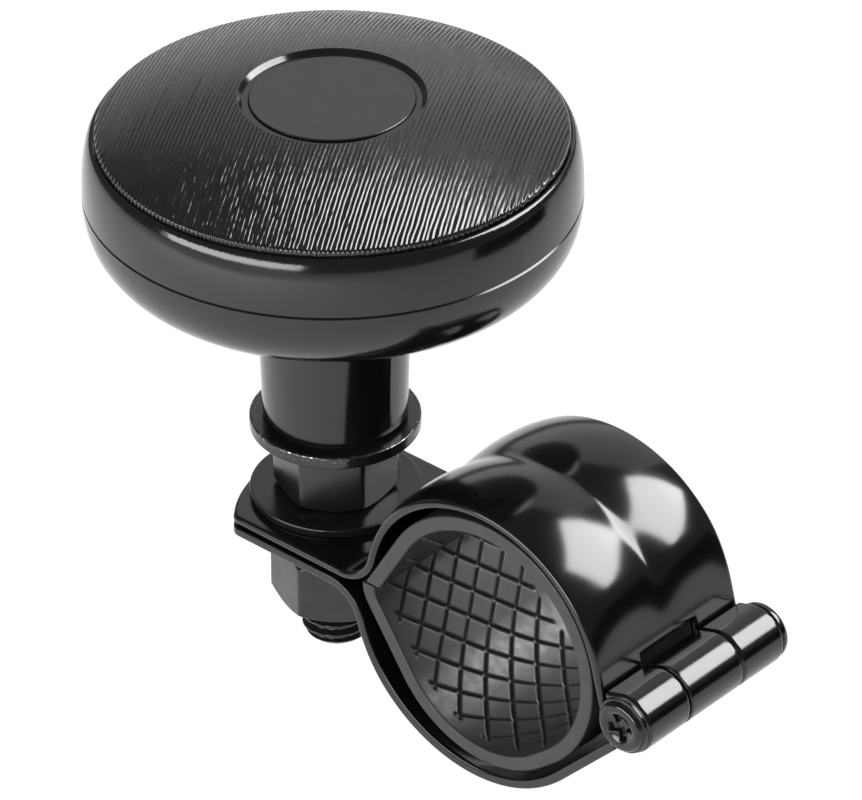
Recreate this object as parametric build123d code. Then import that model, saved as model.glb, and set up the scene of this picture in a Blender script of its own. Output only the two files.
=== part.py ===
from build123d import *
import os
from math import acos, atan2, cos, degrees, hypot, pi, radians, sin, sqrt, tan

# Steering wheel spinner knob with a hinged rim clamp, in millimetres.
# The origin is the centre of the bore that grips the wheel's rim.
# +Y runs along the rim, +X from the post to the hinge, +Z up along the post.

# Rubber rim liner
LINER_BORE_R = 16.2
LINER_THICK = 2.15
LINER_SHORT = 0.2
LINER_LEAN_DEG = 31.0
LINER_END_LEVEL = 0.05
LINER_SAG_DEG = -50.8
LINER_SAG_RUN = 2.6
LINER_SAG_R = 14.6
LINER_RISE_DEG = -145.0
LINER_RISE_RUN = 11.0
LINER_TIP_BEND_R = 3.4

# Pressed steel clamp halves
SHEET = 1.3
STRAP_WIDTH = 27.8
EAR_GAP = 0.5
PARTING_Z = -1.7
UPPER_HOOP_X = -0.8
UPPER_HOOP_Z = -0.75
UPPER_HOOP_R = 20.85
LOWER_HOOP_X = -2.1
LOWER_HOOP_Z = -0.4
LOWER_HOOP_R = 21.9
EAR_FILLET_R = 5.8
RIB_HEIGHT = 1.0
RIB_POWER = 2.4
RIB_VALLEY_R = 1.0
RIB_FADE_DEG = 26.0
EAR_REACH = 11.7
EAR_END_R = 20.5
EAR_CORNER_R = 1.8
JAW_WALL_DEG = 46.0

# Rolled hinge
HINGE_X = 24.1
HINGE_Z = -1.5
BARREL_R = 4.3
MIDDLE_KNUCKLE = 10.5
KNUCKLE_GAP = 0.15
ROLL_END_DEG = 107.0
ROLL_TAIL = 2.6
JAW_NECK_R = 2.5
KNUCKLE_CLEAR = 0.5
TAIL_SWING_CLEAR = 1.6
PIN_FIT = 0.05
SLEEVE_HEAD_R = 4.15
SLEEVE_HEAD_T = 1.3
SLEEVE_WALL = 1.1
SLEEVE_SHORT = 0.1
SCREW_HEAD_R = 3.6
SCREW_HEAD_T = 1.3
SCREW_RIM_R = 4.0
SCREW_RIM_T = 0.5
SCREW_LENGTH = 12.0
SCREW_FIT = 0.05

# Stud, nut and washers
STUD_X = -39.2
STUD_R = 4.9
STUD_END = 24.3
STUD_CHAMFER = 1.0
STUD_HOLE_FIT = 0.4
SLOT_TRAVEL = 3.9
COLLAR_WASHER_R = 11.8
COLLAR_WASHER_T = 1.3
FLAT_WASHER_R = 10.0
FLAT_WASHER_T = 2.0
SPRING_WASHER_R = 9.05
SPRING_WASHER_T = 2.2
SPRING_SLIT = 1.3
SPRING_SLIT_DEG = -75.0
SLIT_LEAN_DEG = 20.0
WASHER_BEVEL = 0.2
WASHER_BORE_FIT = 0.3
NUT_FLATS = 16.0
NUT_HEIGHT = 9.3
NUT_BORE_FIT = 0.05
NUT_MOUTH = 0.5
HEX_TURN_DEG = -22.0

# Spindle
HEX_FLATS = 15.0
HEX_HEIGHT = 9.8
FLANGE_R = 11.7
FLANGE_T = 1.8
FLANGE_BEVEL = 0.25
SPINDLE_R = 5.0
JOURNAL_R = 4.0
CLIP_GROOVE_R = 3.4
SPINDLE_TIP = 1.2

# Ball bearing
BEARING_OUTER_R = 11.0
BEARING_WIDTH = 7.0
INNER_LAND_SHARE = 0.55
OUTER_LAND_SHARE = 0.83
BALL_SHARE = 1.3
BALL_COUNT = 7
BALL_FIT = 0.03
CAGE_EDGE = 0.4
CAGE_SHARE = 0.3
CAGE_FIT = 0.1
SHIELD_T = 0.3
SHIELD_INSET = 0.4
SHIELD_FIT = 0.3
SHIELD_SEAT = 0.3
SEAT_FIT = 0.02
THRUST_WASHER_R = 5.9
THRUST_WASHER_T = 0.8
CLIP_R = 6.2
CLIP_T = 1.0
CLIP_FIT = 0.05
CLIP_GAP = 4.0

# Knob shells
KNOB_R = 33.3
NECK_GAP = 0.4
NECK_BOTTOM_R = 9.9
NECK_TOP_R = 10.5
NECK_LENGTH = 23.1
NECK_FILLET = 0.8
NECK_FOOT_BEVEL = 0.4
NECK_BORE_R = 6.0
BOWL_DEPTH = 12.2
BOWL_POWER_R = 3.4
BOWL_POWER_Z = 2.3
SHELL_WALL = 2.2
FLOOR_T = 2.5
FLOOR_HOLE_R = 8.6
FLOOR_RELIEF = 0.5
HUB_WALL = 2.5
HUB_DROP = 0.5
RIB_T = 1.5
RIB_COUNT = 6
RIB_DROP = 4.0
RIM_RISE = 8.1
RIM_INSET = 1.6
RIM_LIP = 1.3
DECK_T = 2.2
TONGUE_T = 0.9
TONGUE_RISE = 1.2
TONGUE_FIT = 0.1
PARTING_BEVEL = 0.2
PRESS_RING_T = 1.6

# Neck bush
BUSH_FIT = 0.05
BUSH_WALL = 2.3
BUSH_LENGTH = 9.0
BUSH_FLANGE_R = 8.6
BUSH_FLANGE_T = 1.0
BUSH_PROUD = 0.3

# Shell screws
SHELL_SCREWS = 3
SHELL_SCREW_CIRCLE = 21.5
SHELL_SCREW_R = 1.45
SHELL_SCREW_HEAD_R = 2.8
SHELL_SCREW_HEAD_T = 1.6
SHELL_SCREW_LENGTH = 11.0
SHELL_SCREW_CLEAR = 0.2
BOSS_R = 3.8
BOSS_GAP = 0.05
HEAD_INSET = 1.0

# Top insert and medallion
INSERT_GAP = 0.3
INSERT_EDGE_RISE = 2.2
INSERT_CROWN = 5.6
INSERT_WALL = 2.0
INSERT_SKIRT = 1.8
INSERT_EDGE_R = 0.6
RECESS_R = 12.5
MEDALLION_R = 11.0
MEDALLION_T = 1.05
MEDALLION_FIT = 0.05
MEDALLION_INSET = 0.35
MEDALLION_BEVEL = 0.2
RECESS_BEVEL = 0.65

# Levels along the post, from the clamp upwards
UPPER_EAR_TOP = PARTING_Z + EAR_GAP / 2 + SHEET
LOWER_EAR_BOTTOM = PARTING_Z - EAR_GAP / 2 - SHEET
HEX_BOTTOM = UPPER_EAR_TOP + COLLAR_WASHER_T
FLANGE_BOTTOM = HEX_BOTTOM + HEX_HEIGHT
FLANGE_TOP = FLANGE_BOTTOM + FLANGE_T
NECK_BOTTOM = FLANGE_TOP + NECK_GAP
BOWL_BOTTOM = NECK_BOTTOM + NECK_LENGTH
BEARING_BOTTOM = BOWL_BOTTOM + FLOOR_T
BEARING_TOP = BEARING_BOTTOM + BEARING_WIDTH
SHELL_PARTING = BOWL_BOTTOM + BOWL_DEPTH
RIM_TOP = SHELL_PARTING + RIM_RISE
RIM_R = KNOB_R - RIM_INSET
DECK_TOP = RIM_TOP - RIM_LIP
DECK_BOTTOM = DECK_TOP - DECK_T
INSERT_R = RIM_R - INSERT_GAP
INSERT_EDGE = DECK_TOP + INSERT_EDGE_RISE
INSERT_APEX = INSERT_EDGE + INSERT_CROWN
CLIP_BOTTOM = BEARING_TOP + THRUST_WASHER_T
SPINDLE_TOP = CLIP_BOTTOM + CLIP_T + SPINDLE_TIP
STUD_BOTTOM = HEX_BOTTOM - STUD_END
FLAT_WASHER_BOTTOM = LOWER_EAR_BOTTOM - FLAT_WASHER_T
SPRING_WASHER_BOTTOM = FLAT_WASHER_BOTTOM - SPRING_WASHER_T
NUT_BOTTOM = SPRING_WASHER_BOTTOM - NUT_HEIGHT
SCREW_SEAT = DECK_TOP - HEAD_INSET - SHELL_SCREW_HEAD_T
SCREW_TIP = SCREW_SEAT - SHELL_SCREW_LENGTH

# Derived sizes of the sheet and the roll
HALF_WIDTH = STRAP_WIDTH / 2
LINER_WIDTH = STRAP_WIDTH - 2 * LINER_SHORT
HALF_SHEET = SHEET / 2
ROLL_R = BARREL_R - HALF_SHEET
SLEEVE_R = BARREL_R - SHEET - PIN_FIT
KNUCKLE_BORE_R = BARREL_R - SHEET
INNER_LAND_R = INNER_LAND_SHARE * BEARING_OUTER_R
OUTER_LAND_R = OUTER_LAND_SHARE * BEARING_OUTER_R
BALL_CIRCLE_R = (INNER_LAND_R + OUTER_LAND_R) / 2
BALL_R = BALL_SHARE * (OUTER_LAND_R - INNER_LAND_R) / 2
CAGE_THICK = CAGE_SHARE * (OUTER_LAND_R - INNER_LAND_R)
CAGE_HEIGHT = 2 * (BALL_R + CAGE_FIT + CAGE_EDGE)
BEARING_MID = BEARING_BOTTOM + BEARING_WIDTH / 2


def at_post(shape):
    """Moves a shape made round the Z axis to the post's axis."""
    return Pos(STUD_X, 0, 0) * shape


def face_from(edges):
    return Face(Wire(edges))


def turned(points):
    """Solid of revolution about Z from corner points (radius, height)."""
    corners = [Vector(r, 0, z) for r, z in points]
    return revolve(face_from(Wire.make_polygon(corners, close=True).edges()), Axis.Z)


def ring(inner, outer, bottom, top):
    return turned([(inner, bottom), (outer, bottom), (outer, top), (inner, top)])


def rod(radius, bottom, top):
    return Pos(0, 0, bottom) * Cylinder(
        radius, top - bottom, align=(Align.CENTER, Align.CENTER, Align.MIN)
    )


def hexagon(flats, bottom, top, chamfer_bottom, chamfer_top):
    """Hexagonal bar whose chamfered ends are cut by a cone, as on a nut."""
    corner = flats / sqrt(3)
    face = Rot(0, 0, HEX_TURN_DEG) * RegularPolygon(corner, 6)
    bar = extrude(Pos(0, 0, bottom) * face, top - bottom)
    slope = tan(radians(30))
    land = flats / 2 * 0.97
    drop = (corner - land) * slope
    low = bottom + (drop if chamfer_bottom else 0)
    high = top - (drop if chamfer_top else 0)
    outline = [(0, bottom), (land if chamfer_bottom else corner, bottom), (corner, low)]
    outline += [(corner, high), (land if chamfer_top else corner, top), (0, top)]
    corners = [p for i, p in enumerate(outline) if i == 0 or p != outline[i - 1]]
    return bar & turned(corners)


def cross_recess(radius, width, depth, top):
    slots = [Rot(0, 0, turn) * Box(2 * radius, width, 2 * depth) for turn in (0, 90)]
    return Pos(0, 0, top) * (slots[0] + slots[1])


def polar(x, z, radius, angle):
    return x + radius * cos(radians(angle)), z + radius * sin(radians(angle))


def arc_strip(x, z, middle_r, start, end, y0, y1):
    """Sheet bent round (x, z), from one angle to another, between two Y planes."""
    inner, outer = middle_r - HALF_SHEET, middle_r + HALF_SHEET

    def point(radius, angle):
        px, pz = polar(x, z, radius, angle)
        return Vector(px, y0, pz)

    half = (start + end) / 2
    edges = [
        Edge.make_three_point_arc(point(outer, start), point(outer, half), point(outer, end)),
        Edge.make_line(point(outer, end), point(inner, end)),
        Edge.make_three_point_arc(point(inner, end), point(inner, half), point(inner, start)),
        Edge.make_line(point(inner, start), point(outer, start)),
    ]
    return extrude(face_from(edges), y1 - y0, dir=(0, 1, 0))


def line_strip(start, end, y0, y1):
    """Flat sheet whose middle runs from one (x, z) point to another."""
    length = hypot(end[0] - start[0], end[1] - start[1])
    nx, nz = (end[1] - start[1]) / length, (start[0] - end[0]) / length
    corners = [
        Vector(p[0] + s * nx * HALF_SHEET, y0, p[1] + s * nz * HALF_SHEET)
        for p, s in ((start, 1), (end, 1), (end, -1), (start, -1))
    ]
    face = face_from(Wire.make_polygon(corners, close=True).edges())
    return extrude(face, y1 - y0, dir=(0, 1, 0))


def rib_shape(y):
    """Share of the rib height at y: two round ribs with a soft valley between them."""
    middle = HALF_WIDTH / 2
    across = sqrt(y * y + RIB_VALLEY_R**2)
    edge = sqrt(HALF_WIDTH**2 + RIB_VALLEY_R**2)
    u = min(1.0, abs(across - edge / 2) / (edge / 2))
    return max(0.0, 1 - u**RIB_POWER)


def fade(position):
    """Smooth step from 0 to 1."""
    t = min(1.0, max(0.0, position))
    return t * t * (3 - 2 * t)


def hoop_section(x, z, nx, nz, height):
    """Closed section of the ribbed sheet at one place of the hoop."""
    steps = 16
    ys = [HALF_WIDTH * (2 * i / steps - 1) for i in range(steps + 1)]

    def side(offset):
        reach = [offset + height * rib_shape(y) for y in ys]
        return [Vector(x + nx * r, y, z + nz * r) for y, r in zip(ys, reach)]

    outer, inner = side(HALF_SHEET), side(-HALF_SHEET)
    edges = [
        Edge.make_spline(outer),
        Edge.make_line(outer[-1], inner[-1]),
        Edge.make_spline(inner[::-1]),
        Edge.make_line(inner[0], outer[0]),
    ]
    return Wire(edges)


def hoop(stations):
    """Ribbed hoop lofted through stations (x, z, normal x, normal z, rib height)."""
    return Solid.make_loft([hoop_section(*station) for station in stations])


def ear_plate(top, bend_x, hole):
    """Flat ear with a rounded end, cut by the hole for the stud."""
    end = STUD_X - EAR_REACH
    middle = end + EAR_END_R
    outboard = Pos(middle, 0, 0) * rod(EAR_END_R, top - SHEET, top)
    outboard &= Pos(end, 0, top - HALF_SHEET) * Box(2 * EAR_END_R, STRAP_WIDTH, SHEET)
    length = bend_x - middle
    plate = outboard + Pos(middle + length / 2, 0, top - HALF_SHEET) * Box(
        length, STRAP_WIDTH, SHEET
    )
    corner_x = end + EAR_END_R - sqrt(EAR_END_R**2 - HALF_WIDTH**2)
    corners = [e for e in plate.edges().filter_by(Axis.Z) if abs(e.center().X - corner_x) < 0.1]
    return fillet(corners, EAR_CORNER_R) - hole


def bend_centre(hoop_x, hoop_z, hoop_middle_r, ear_middle, side):
    """Centre of the bend between an ear and its hoop; side is 1 above, -1 below."""
    z = ear_middle + side * EAR_FILLET_R
    reach = hoop_middle_r + EAR_FILLET_R
    return hoop_x - sqrt(reach**2 - (z - hoop_z) ** 2), z


def upper_bend():
    middle = UPPER_HOOP_R - HALF_SHEET
    return bend_centre(UPPER_HOOP_X, UPPER_HOOP_Z, middle, UPPER_EAR_TOP - HALF_SHEET, 1)


def lower_bend():
    middle = LOWER_HOOP_R - HALF_SHEET
    return bend_centre(LOWER_HOOP_X, LOWER_HOOP_Z, middle, LOWER_EAR_BOTTOM + HALF_SHEET, -1)


def roll_tail(y0, y1):
    """Flat end of the rolled sheet, tangent to the top of the barrel."""
    start = polar(HINGE_X, HINGE_Z, ROLL_R, ROLL_END_DEG)
    run = ROLL_END_DEG + 90
    end = polar(start[0], start[1], ROLL_TAIL, run)
    return line_strip(start, end, y0, y1)


def barrel_bore():
    bore = Cylinder(KNUCKLE_BORE_R, 2 * STRAP_WIDTH)
    return Pos(HINGE_X, 0, HINGE_Z) * Rot(90, 0, 0) * bore


def hinge_disc(radius, y0, y1):
    disc = Cylinder(radius, y1 - y0)
    return Pos(HINGE_X, (y0 + y1) / 2, HINGE_Z) * Rot(90, 0, 0) * disc


def stud_hole(top, bottom, radius):
    return at_post(rod(radius, bottom - 1, top + 1))


def upper_clamp_half():
    middle = UPPER_HOOP_R - HALF_SHEET
    bend_x, bend_z = upper_bend()
    hoop_start = degrees(atan2(bend_z - UPPER_HOOP_Z, bend_x - UPPER_HOOP_X))
    span = hypot(HINGE_X - UPPER_HOOP_X, HINGE_Z - UPPER_HOOP_Z)
    tilt = degrees(atan2(HINGE_Z - UPPER_HOOP_Z, HINGE_X - UPPER_HOOP_X))
    hoop_end = tilt + degrees(acos((middle + ROLL_R) / span))
    steps = 14
    stations = []
    for i in range(steps + 1):
        angle = hoop_start + (hoop_end - hoop_start) * i / steps
        x, z = polar(UPPER_HOOP_X, UPPER_HOOP_Z, middle, angle)
        near_ear = fade((hoop_start - angle) / RIB_FADE_DEG)
        near_hinge = fade((angle - hoop_end) / RIB_FADE_DEG)
        height = RIB_HEIGHT * near_ear * near_hinge
        stations.append((x, z, cos(radians(angle)), sin(radians(angle)), height))
    body = hoop(stations)
    top = UPPER_EAR_TOP
    body += ear_plate(top, bend_x, stud_hole(top, top - SHEET, STUD_R + STUD_HOLE_FIT))
    turn = hoop_start + 180
    body += arc_strip(bend_x, bend_z, EAR_FILLET_R, 270, turn, -HALF_WIDTH, HALF_WIDTH)
    wall_top = polar(UPPER_HOOP_X, UPPER_HOOP_Z, middle, hoop_end)
    wall_foot = polar(HINGE_X, HINGE_Z, ROLL_R, hoop_end + 180)
    wall = line_strip(wall_top, wall_foot, -HALF_WIDTH, HALF_WIDTH)
    side = MIDDLE_KNUCKLE / 2 + KNUCKLE_GAP
    tail_reach = hypot(BARREL_R, ROLL_TAIL)
    notch = hinge_disc(tail_reach + TAIL_SWING_CLEAR, -side, side)
    body += wall - notch
    for y0, y1 in ((-HALF_WIDTH, -side), (side, HALF_WIDTH)):
        body += arc_strip(HINGE_X, HINGE_Z, ROLL_R, hoop_end + 180, ROLL_END_DEG + 360, y0, y1)
        body += roll_tail(y0, y1)
    return body - barrel_bore()


def lower_clamp_half():
    middle = LOWER_HOOP_R - HALF_SHEET
    bend_x, bend_z = lower_bend()
    hoop_start = degrees(atan2(bend_z - LOWER_HOOP_Z, bend_x - LOWER_HOOP_X)) + 360
    hoop_end = 270 + JAW_WALL_DEG
    nx, nz = cos(radians(hoop_end)), sin(radians(hoop_end))
    tx, tz = -nz, nx
    # The straight wall runs along (tx, tz) until the neck bends it under the barrel.
    wall_start = polar(LOWER_HOOP_X, LOWER_HOOP_Z, middle, hoop_end)
    wall_level = nx * wall_start[0] + nz * wall_start[1]
    hinge_level = nx * HINGE_X + nz * HINGE_Z
    hinge_along = tx * HINGE_X + tz * HINGE_Z
    neck_level = wall_level + JAW_NECK_R
    reach = JAW_NECK_R + ROLL_R
    neck_along = hinge_along - sqrt(reach**2 - (neck_level - hinge_level) ** 2)
    start_along = tx * wall_start[0] + tz * wall_start[1]
    run = neck_along - start_along
    wall_end = (wall_start[0] + run * tx, wall_start[1] + run * tz)
    neck = (nx * neck_level + tx * neck_along, nz * neck_level + tz * neck_along)
    steps = 12
    stations = []
    for i in range(steps + 1):
        angle = hoop_start + (hoop_end - hoop_start) * i / steps
        x, z = polar(LOWER_HOOP_X, LOWER_HOOP_Z, middle, angle)
        near_ear = fade((angle - hoop_start) / RIB_FADE_DEG)
        near_hinge = fade((hoop_end - angle) / RIB_FADE_DEG)
        height = RIB_HEIGHT * near_ear * near_hinge
        stations.append((x, z, cos(radians(angle)), sin(radians(angle)), height))
    body = hoop(stations)
    bottom = LOWER_EAR_BOTTOM
    slot_r = STUD_R + STUD_HOLE_FIT
    slot = stud_hole(bottom + SHEET, bottom, slot_r)
    slot += Pos(-SLOT_TRAVEL, 0, 0) * slot
    slot += Pos(STUD_X - SLOT_TRAVEL / 2, 0, bottom + HALF_SHEET) * Box(
        SLOT_TRAVEL, 2 * slot_r, 2 * SHEET
    )
    body += ear_plate(bottom + SHEET, bend_x, slot)
    body += arc_strip(bend_x, bend_z, EAR_FILLET_R, 90, hoop_start - 180, -HALF_WIDTH, HALF_WIDTH)
    tongue = MIDDLE_KNUCKLE / 2
    wall = line_strip(wall_start, wall_end, -HALF_WIDTH, HALF_WIDTH)
    for y0, y1 in ((-STRAP_WIDTH, -tongue), (tongue, STRAP_WIDTH)):
        wall -= hinge_disc(BARREL_R + KNUCKLE_CLEAR, y0, y1)
    body += wall
    neck_start = hoop_end + 180
    neck_end = degrees(atan2(HINGE_Z - neck[1], HINGE_X - neck[0]))
    body += arc_strip(neck[0], neck[1], JAW_NECK_R, neck_start - 360, neck_end, -tongue, tongue)
    roll_start = neck_end + 180
    body += arc_strip(HINGE_X, HINGE_Z, ROLL_R, roll_start, ROLL_END_DEG + 360, -tongue, tongue)
    body += roll_tail(-tongue, tongue)
    return body - barrel_bore()


def rim_liner():
    """One strip of rubber laid round the bore, with its two ends meeting at the tip."""
    front = -LINER_WIDTH / 2
    lean = 180 - LINER_LEAN_DEG
    # Each arc is (centre x, centre z, bore side radius, first angle, last angle).
    arcs = [(0, 0, LINER_BORE_R, lean, LINER_SAG_DEG)]
    bends = [(LINER_SAG_R, LINER_SAG_RUN, LINER_RISE_DEG)]
    bends.append((LINER_TIP_BEND_R, LINER_RISE_RUN, -180))
    for radius, run, last in bends:
        x, z, before, _, turn = arcs[-1]
        nx, nz = cos(radians(turn)), sin(radians(turn))
        x += (before - radius) * nx + run * nz
        z += (before - radius) * nz - run * nx
        arcs.append((x, z, radius, turn, last))

    def side(offset):
        """Edges of one face of the strip, from its upper end to its lower end."""
        rise = LINER_END_LEVEL * sin(radians(lean))
        start_x = (LINER_BORE_R + offset - rise) / cos(radians(lean))
        here = Vector(start_x, front, LINER_END_LEVEL)
        edges = []
        for x, z, radius, first, last in arcs:
            turns = (first, (first + last) / 2, last)
            spots = [polar(x, z, radius + offset, turn) for turn in turns]
            a, b, c = [Vector(px, front, pz) for px, pz in spots]
            edges += [Edge.make_line(here, a), Edge.make_three_point_arc(a, b, c)]
            here = c
        return edges

    inner, outer = side(0), side(LINER_THICK)
    edges = [*inner, Edge.make_line(inner[-1] @ 1, outer[-1] @ 1)]
    edges += [*outer[::-1], Edge.make_line(outer[0] @ 0, inner[0] @ 0)]
    return extrude(face_from(edges), LINER_WIDTH, dir=(0, 1, 0))


def spindle():
    """Stud, hexagon, flange and shaft turned from one bar."""
    bevel = 0.5
    profile = [
        (0, STUD_BOTTOM),
        (STUD_R - STUD_CHAMFER, STUD_BOTTOM),
        (STUD_R, STUD_BOTTOM + STUD_CHAMFER),
        (STUD_R, FLANGE_BOTTOM),
        (FLANGE_R - FLANGE_BEVEL, FLANGE_BOTTOM),
        (FLANGE_R, FLANGE_BOTTOM + FLANGE_BEVEL),
        (FLANGE_R, FLANGE_TOP - FLANGE_BEVEL),
        (FLANGE_R - FLANGE_BEVEL, FLANGE_TOP),
        (SPINDLE_R, FLANGE_TOP),
        (SPINDLE_R, BEARING_BOTTOM),
        (JOURNAL_R, BEARING_BOTTOM),
        (JOURNAL_R, CLIP_BOTTOM),
        (CLIP_GROOVE_R, CLIP_BOTTOM),
        (CLIP_GROOVE_R, CLIP_BOTTOM + CLIP_T + CLIP_FIT),
        (JOURNAL_R, CLIP_BOTTOM + CLIP_T + CLIP_FIT),
        (JOURNAL_R, SPINDLE_TOP - bevel),
        (JOURNAL_R - bevel, SPINDLE_TOP),
        (0, SPINDLE_TOP),
    ]
    body = turned(profile) + hexagon(HEX_FLATS, HEX_BOTTOM, FLANGE_BOTTOM, True, False)
    return at_post(body)


def bevelled_washer(bore, radius, bottom, thickness):
    bevel = WASHER_BEVEL
    top = bottom + thickness
    corners = [(bore, bottom), (radius - bevel, bottom), (radius, bottom + bevel)]
    corners += [(radius, top - bevel), (radius - bevel, top), (bore, top)]
    return at_post(turned(corners))


def collar_washer():
    bore = STUD_R + WASHER_BORE_FIT
    return bevelled_washer(bore, COLLAR_WASHER_R, UPPER_EAR_TOP, COLLAR_WASHER_T)


def flat_washer():
    bore = STUD_R + WASHER_BORE_FIT
    return bevelled_washer(bore, FLAT_WASHER_R, FLAT_WASHER_BOTTOM, FLAT_WASHER_T)


def spring_washer():
    """Ring cut through on the slant."""
    bore = STUD_R + WASHER_BORE_FIT
    blank = bevelled_washer(bore, SPRING_WASHER_R, SPRING_WASHER_BOTTOM, SPRING_WASHER_T)
    reach = (bore + SPRING_WASHER_R) / 2
    middle = SPRING_WASHER_BOTTOM + SPRING_WASHER_T / 2
    slit = Box(SPRING_WASHER_R, SPRING_SLIT, 4 * SPRING_WASHER_T)
    slit = Rot(0, 0, SPRING_SLIT_DEG) * Pos(reach, 0, middle) * Rot(SLIT_LEAN_DEG, 0, 0) * slit
    return blank - at_post(slit)


def hex_nut():
    blank = hexagon(NUT_FLATS, NUT_BOTTOM, NUT_BOTTOM + NUT_HEIGHT, True, True)
    bore = STUD_R + NUT_BORE_FIT
    mouth = bore + NUT_MOUTH
    top = NUT_BOTTOM + NUT_HEIGHT
    hole = turned(
        [
            (0, NUT_BOTTOM),
            (mouth, NUT_BOTTOM),
            (bore, NUT_BOTTOM + NUT_MOUTH),
            (bore, top - NUT_MOUTH),
            (mouth, top),
            (0, top),
        ]
    )
    return at_post(blank - hole)


def race_groove():
    """Round groove that the balls run in, cut from both races."""
    centre = Vector(BALL_CIRCLE_R, 0, BEARING_MID)
    section = Face(Wire(Edge.make_circle(BALL_R + BALL_FIT, Plane(centre, z_dir=(0, 1, 0)))))
    return revolve(section, Axis.Z)


def shield_level(upper):
    """Bottom of the upper or lower shield."""
    if upper:
        return BEARING_TOP - SHIELD_INSET - SHIELD_T
    return BEARING_BOTTOM + SHIELD_INSET


def bearing_outer_race():
    seat = OUTER_LAND_R + SHIELD_SEAT
    race = ring(OUTER_LAND_R, BEARING_OUTER_R, BEARING_BOTTOM, BEARING_TOP) - race_groove()
    race -= ring(0, seat, BEARING_BOTTOM, shield_level(False) + SHIELD_T)
    race -= ring(0, seat, shield_level(True), BEARING_TOP)
    return at_post(race)


def bearing_inner_race():
    bore = JOURNAL_R + SEAT_FIT
    return at_post(ring(bore, INNER_LAND_R, BEARING_BOTTOM, BEARING_TOP) - race_groove())


def bearing_shields():
    outer = OUTER_LAND_R + SHIELD_SEAT - SEAT_FIT
    levels = [shield_level(upper) for upper in (False, True)]
    rings = [ring(INNER_LAND_R + SHIELD_FIT, outer, low, low + SHIELD_T) for low in levels]
    return Compound([at_post(shield) for shield in rings])


def ball_places():
    turn = 360 / BALL_COUNT
    return [Rot(0, 0, i * turn) * Pos(BALL_CIRCLE_R, 0, BEARING_MID) for i in range(BALL_COUNT)]


def bearing_balls():
    return Compound([at_post(place * Sphere(BALL_R)) for place in ball_places()])


def bearing_cage():
    low = BEARING_MID - CAGE_HEIGHT / 2
    inner = BALL_CIRCLE_R - CAGE_THICK / 2
    cage = ring(inner, inner + CAGE_THICK, low, low + CAGE_HEIGHT)
    for place in ball_places():
        cage -= place * Rot(0, 90, 0) * Cylinder(BALL_R + CAGE_FIT, 4 * CAGE_THICK)
    return at_post(cage)


def thrust_washer():
    bore = JOURNAL_R + CLIP_FIT
    return at_post(ring(bore, THRUST_WASHER_R, BEARING_TOP, CLIP_BOTTOM))


def retaining_ring():
    """Snap ring with a gap, sprung into the groove near the spindle's end."""
    blank = ring(CLIP_GROOVE_R + CLIP_FIT, CLIP_R, CLIP_BOTTOM, CLIP_BOTTOM + CLIP_T)
    gap = Pos(CLIP_R / 2, 0, CLIP_BOTTOM) * Box(CLIP_R, CLIP_GAP, 4 * CLIP_T)
    return at_post(blank - gap)


def neck_bush():
    """Flanged plain bush in the foot of the neck."""
    bore = SPINDLE_R + BUSH_FIT
    low = NECK_BOTTOM - BUSH_PROUD
    corners = [(bore, low), (BUSH_FLANGE_R, low), (BUSH_FLANGE_R, low + BUSH_FLANGE_T)]
    corners += [(bore + BUSH_WALL, low + BUSH_FLANGE_T), (bore + BUSH_WALL, low + BUSH_LENGTH)]
    corners.append((bore, low + BUSH_LENGTH))
    return at_post(turned(corners))


def bowl_curve(inset, first_r):
    """Points of the bowl's rounded underside, moved inwards by the inset."""
    start = NECK_TOP_R + NECK_FILLET
    depth = BOWL_DEPTH - PARTING_BEVEL
    level = SHELL_PARTING - PARTING_BEVEL

    def point(step):
        u = pi / 2 * (1 - step ** (BOWL_POWER_R / 2))
        r = start + (KNOB_R - start) * cos(u) ** (2 / BOWL_POWER_R)
        return r, level - depth * sin(u) ** (2 / BOWL_POWER_Z)

    steps = 16
    points = []
    for i in range(steps + 1):
        low, high = point(max(0, i - 0.05) / steps), point(min(steps, i + 0.05) / steps)
        length = hypot(high[0] - low[0], high[1] - low[1])
        nr, nz = (low[1] - high[1]) / length, (high[0] - low[0]) / length
        r, z = point(i / steps)
        if r >= first_r:
            points.append(Vector(r + inset * nr, 0, z + inset * nz))
    return points


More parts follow.
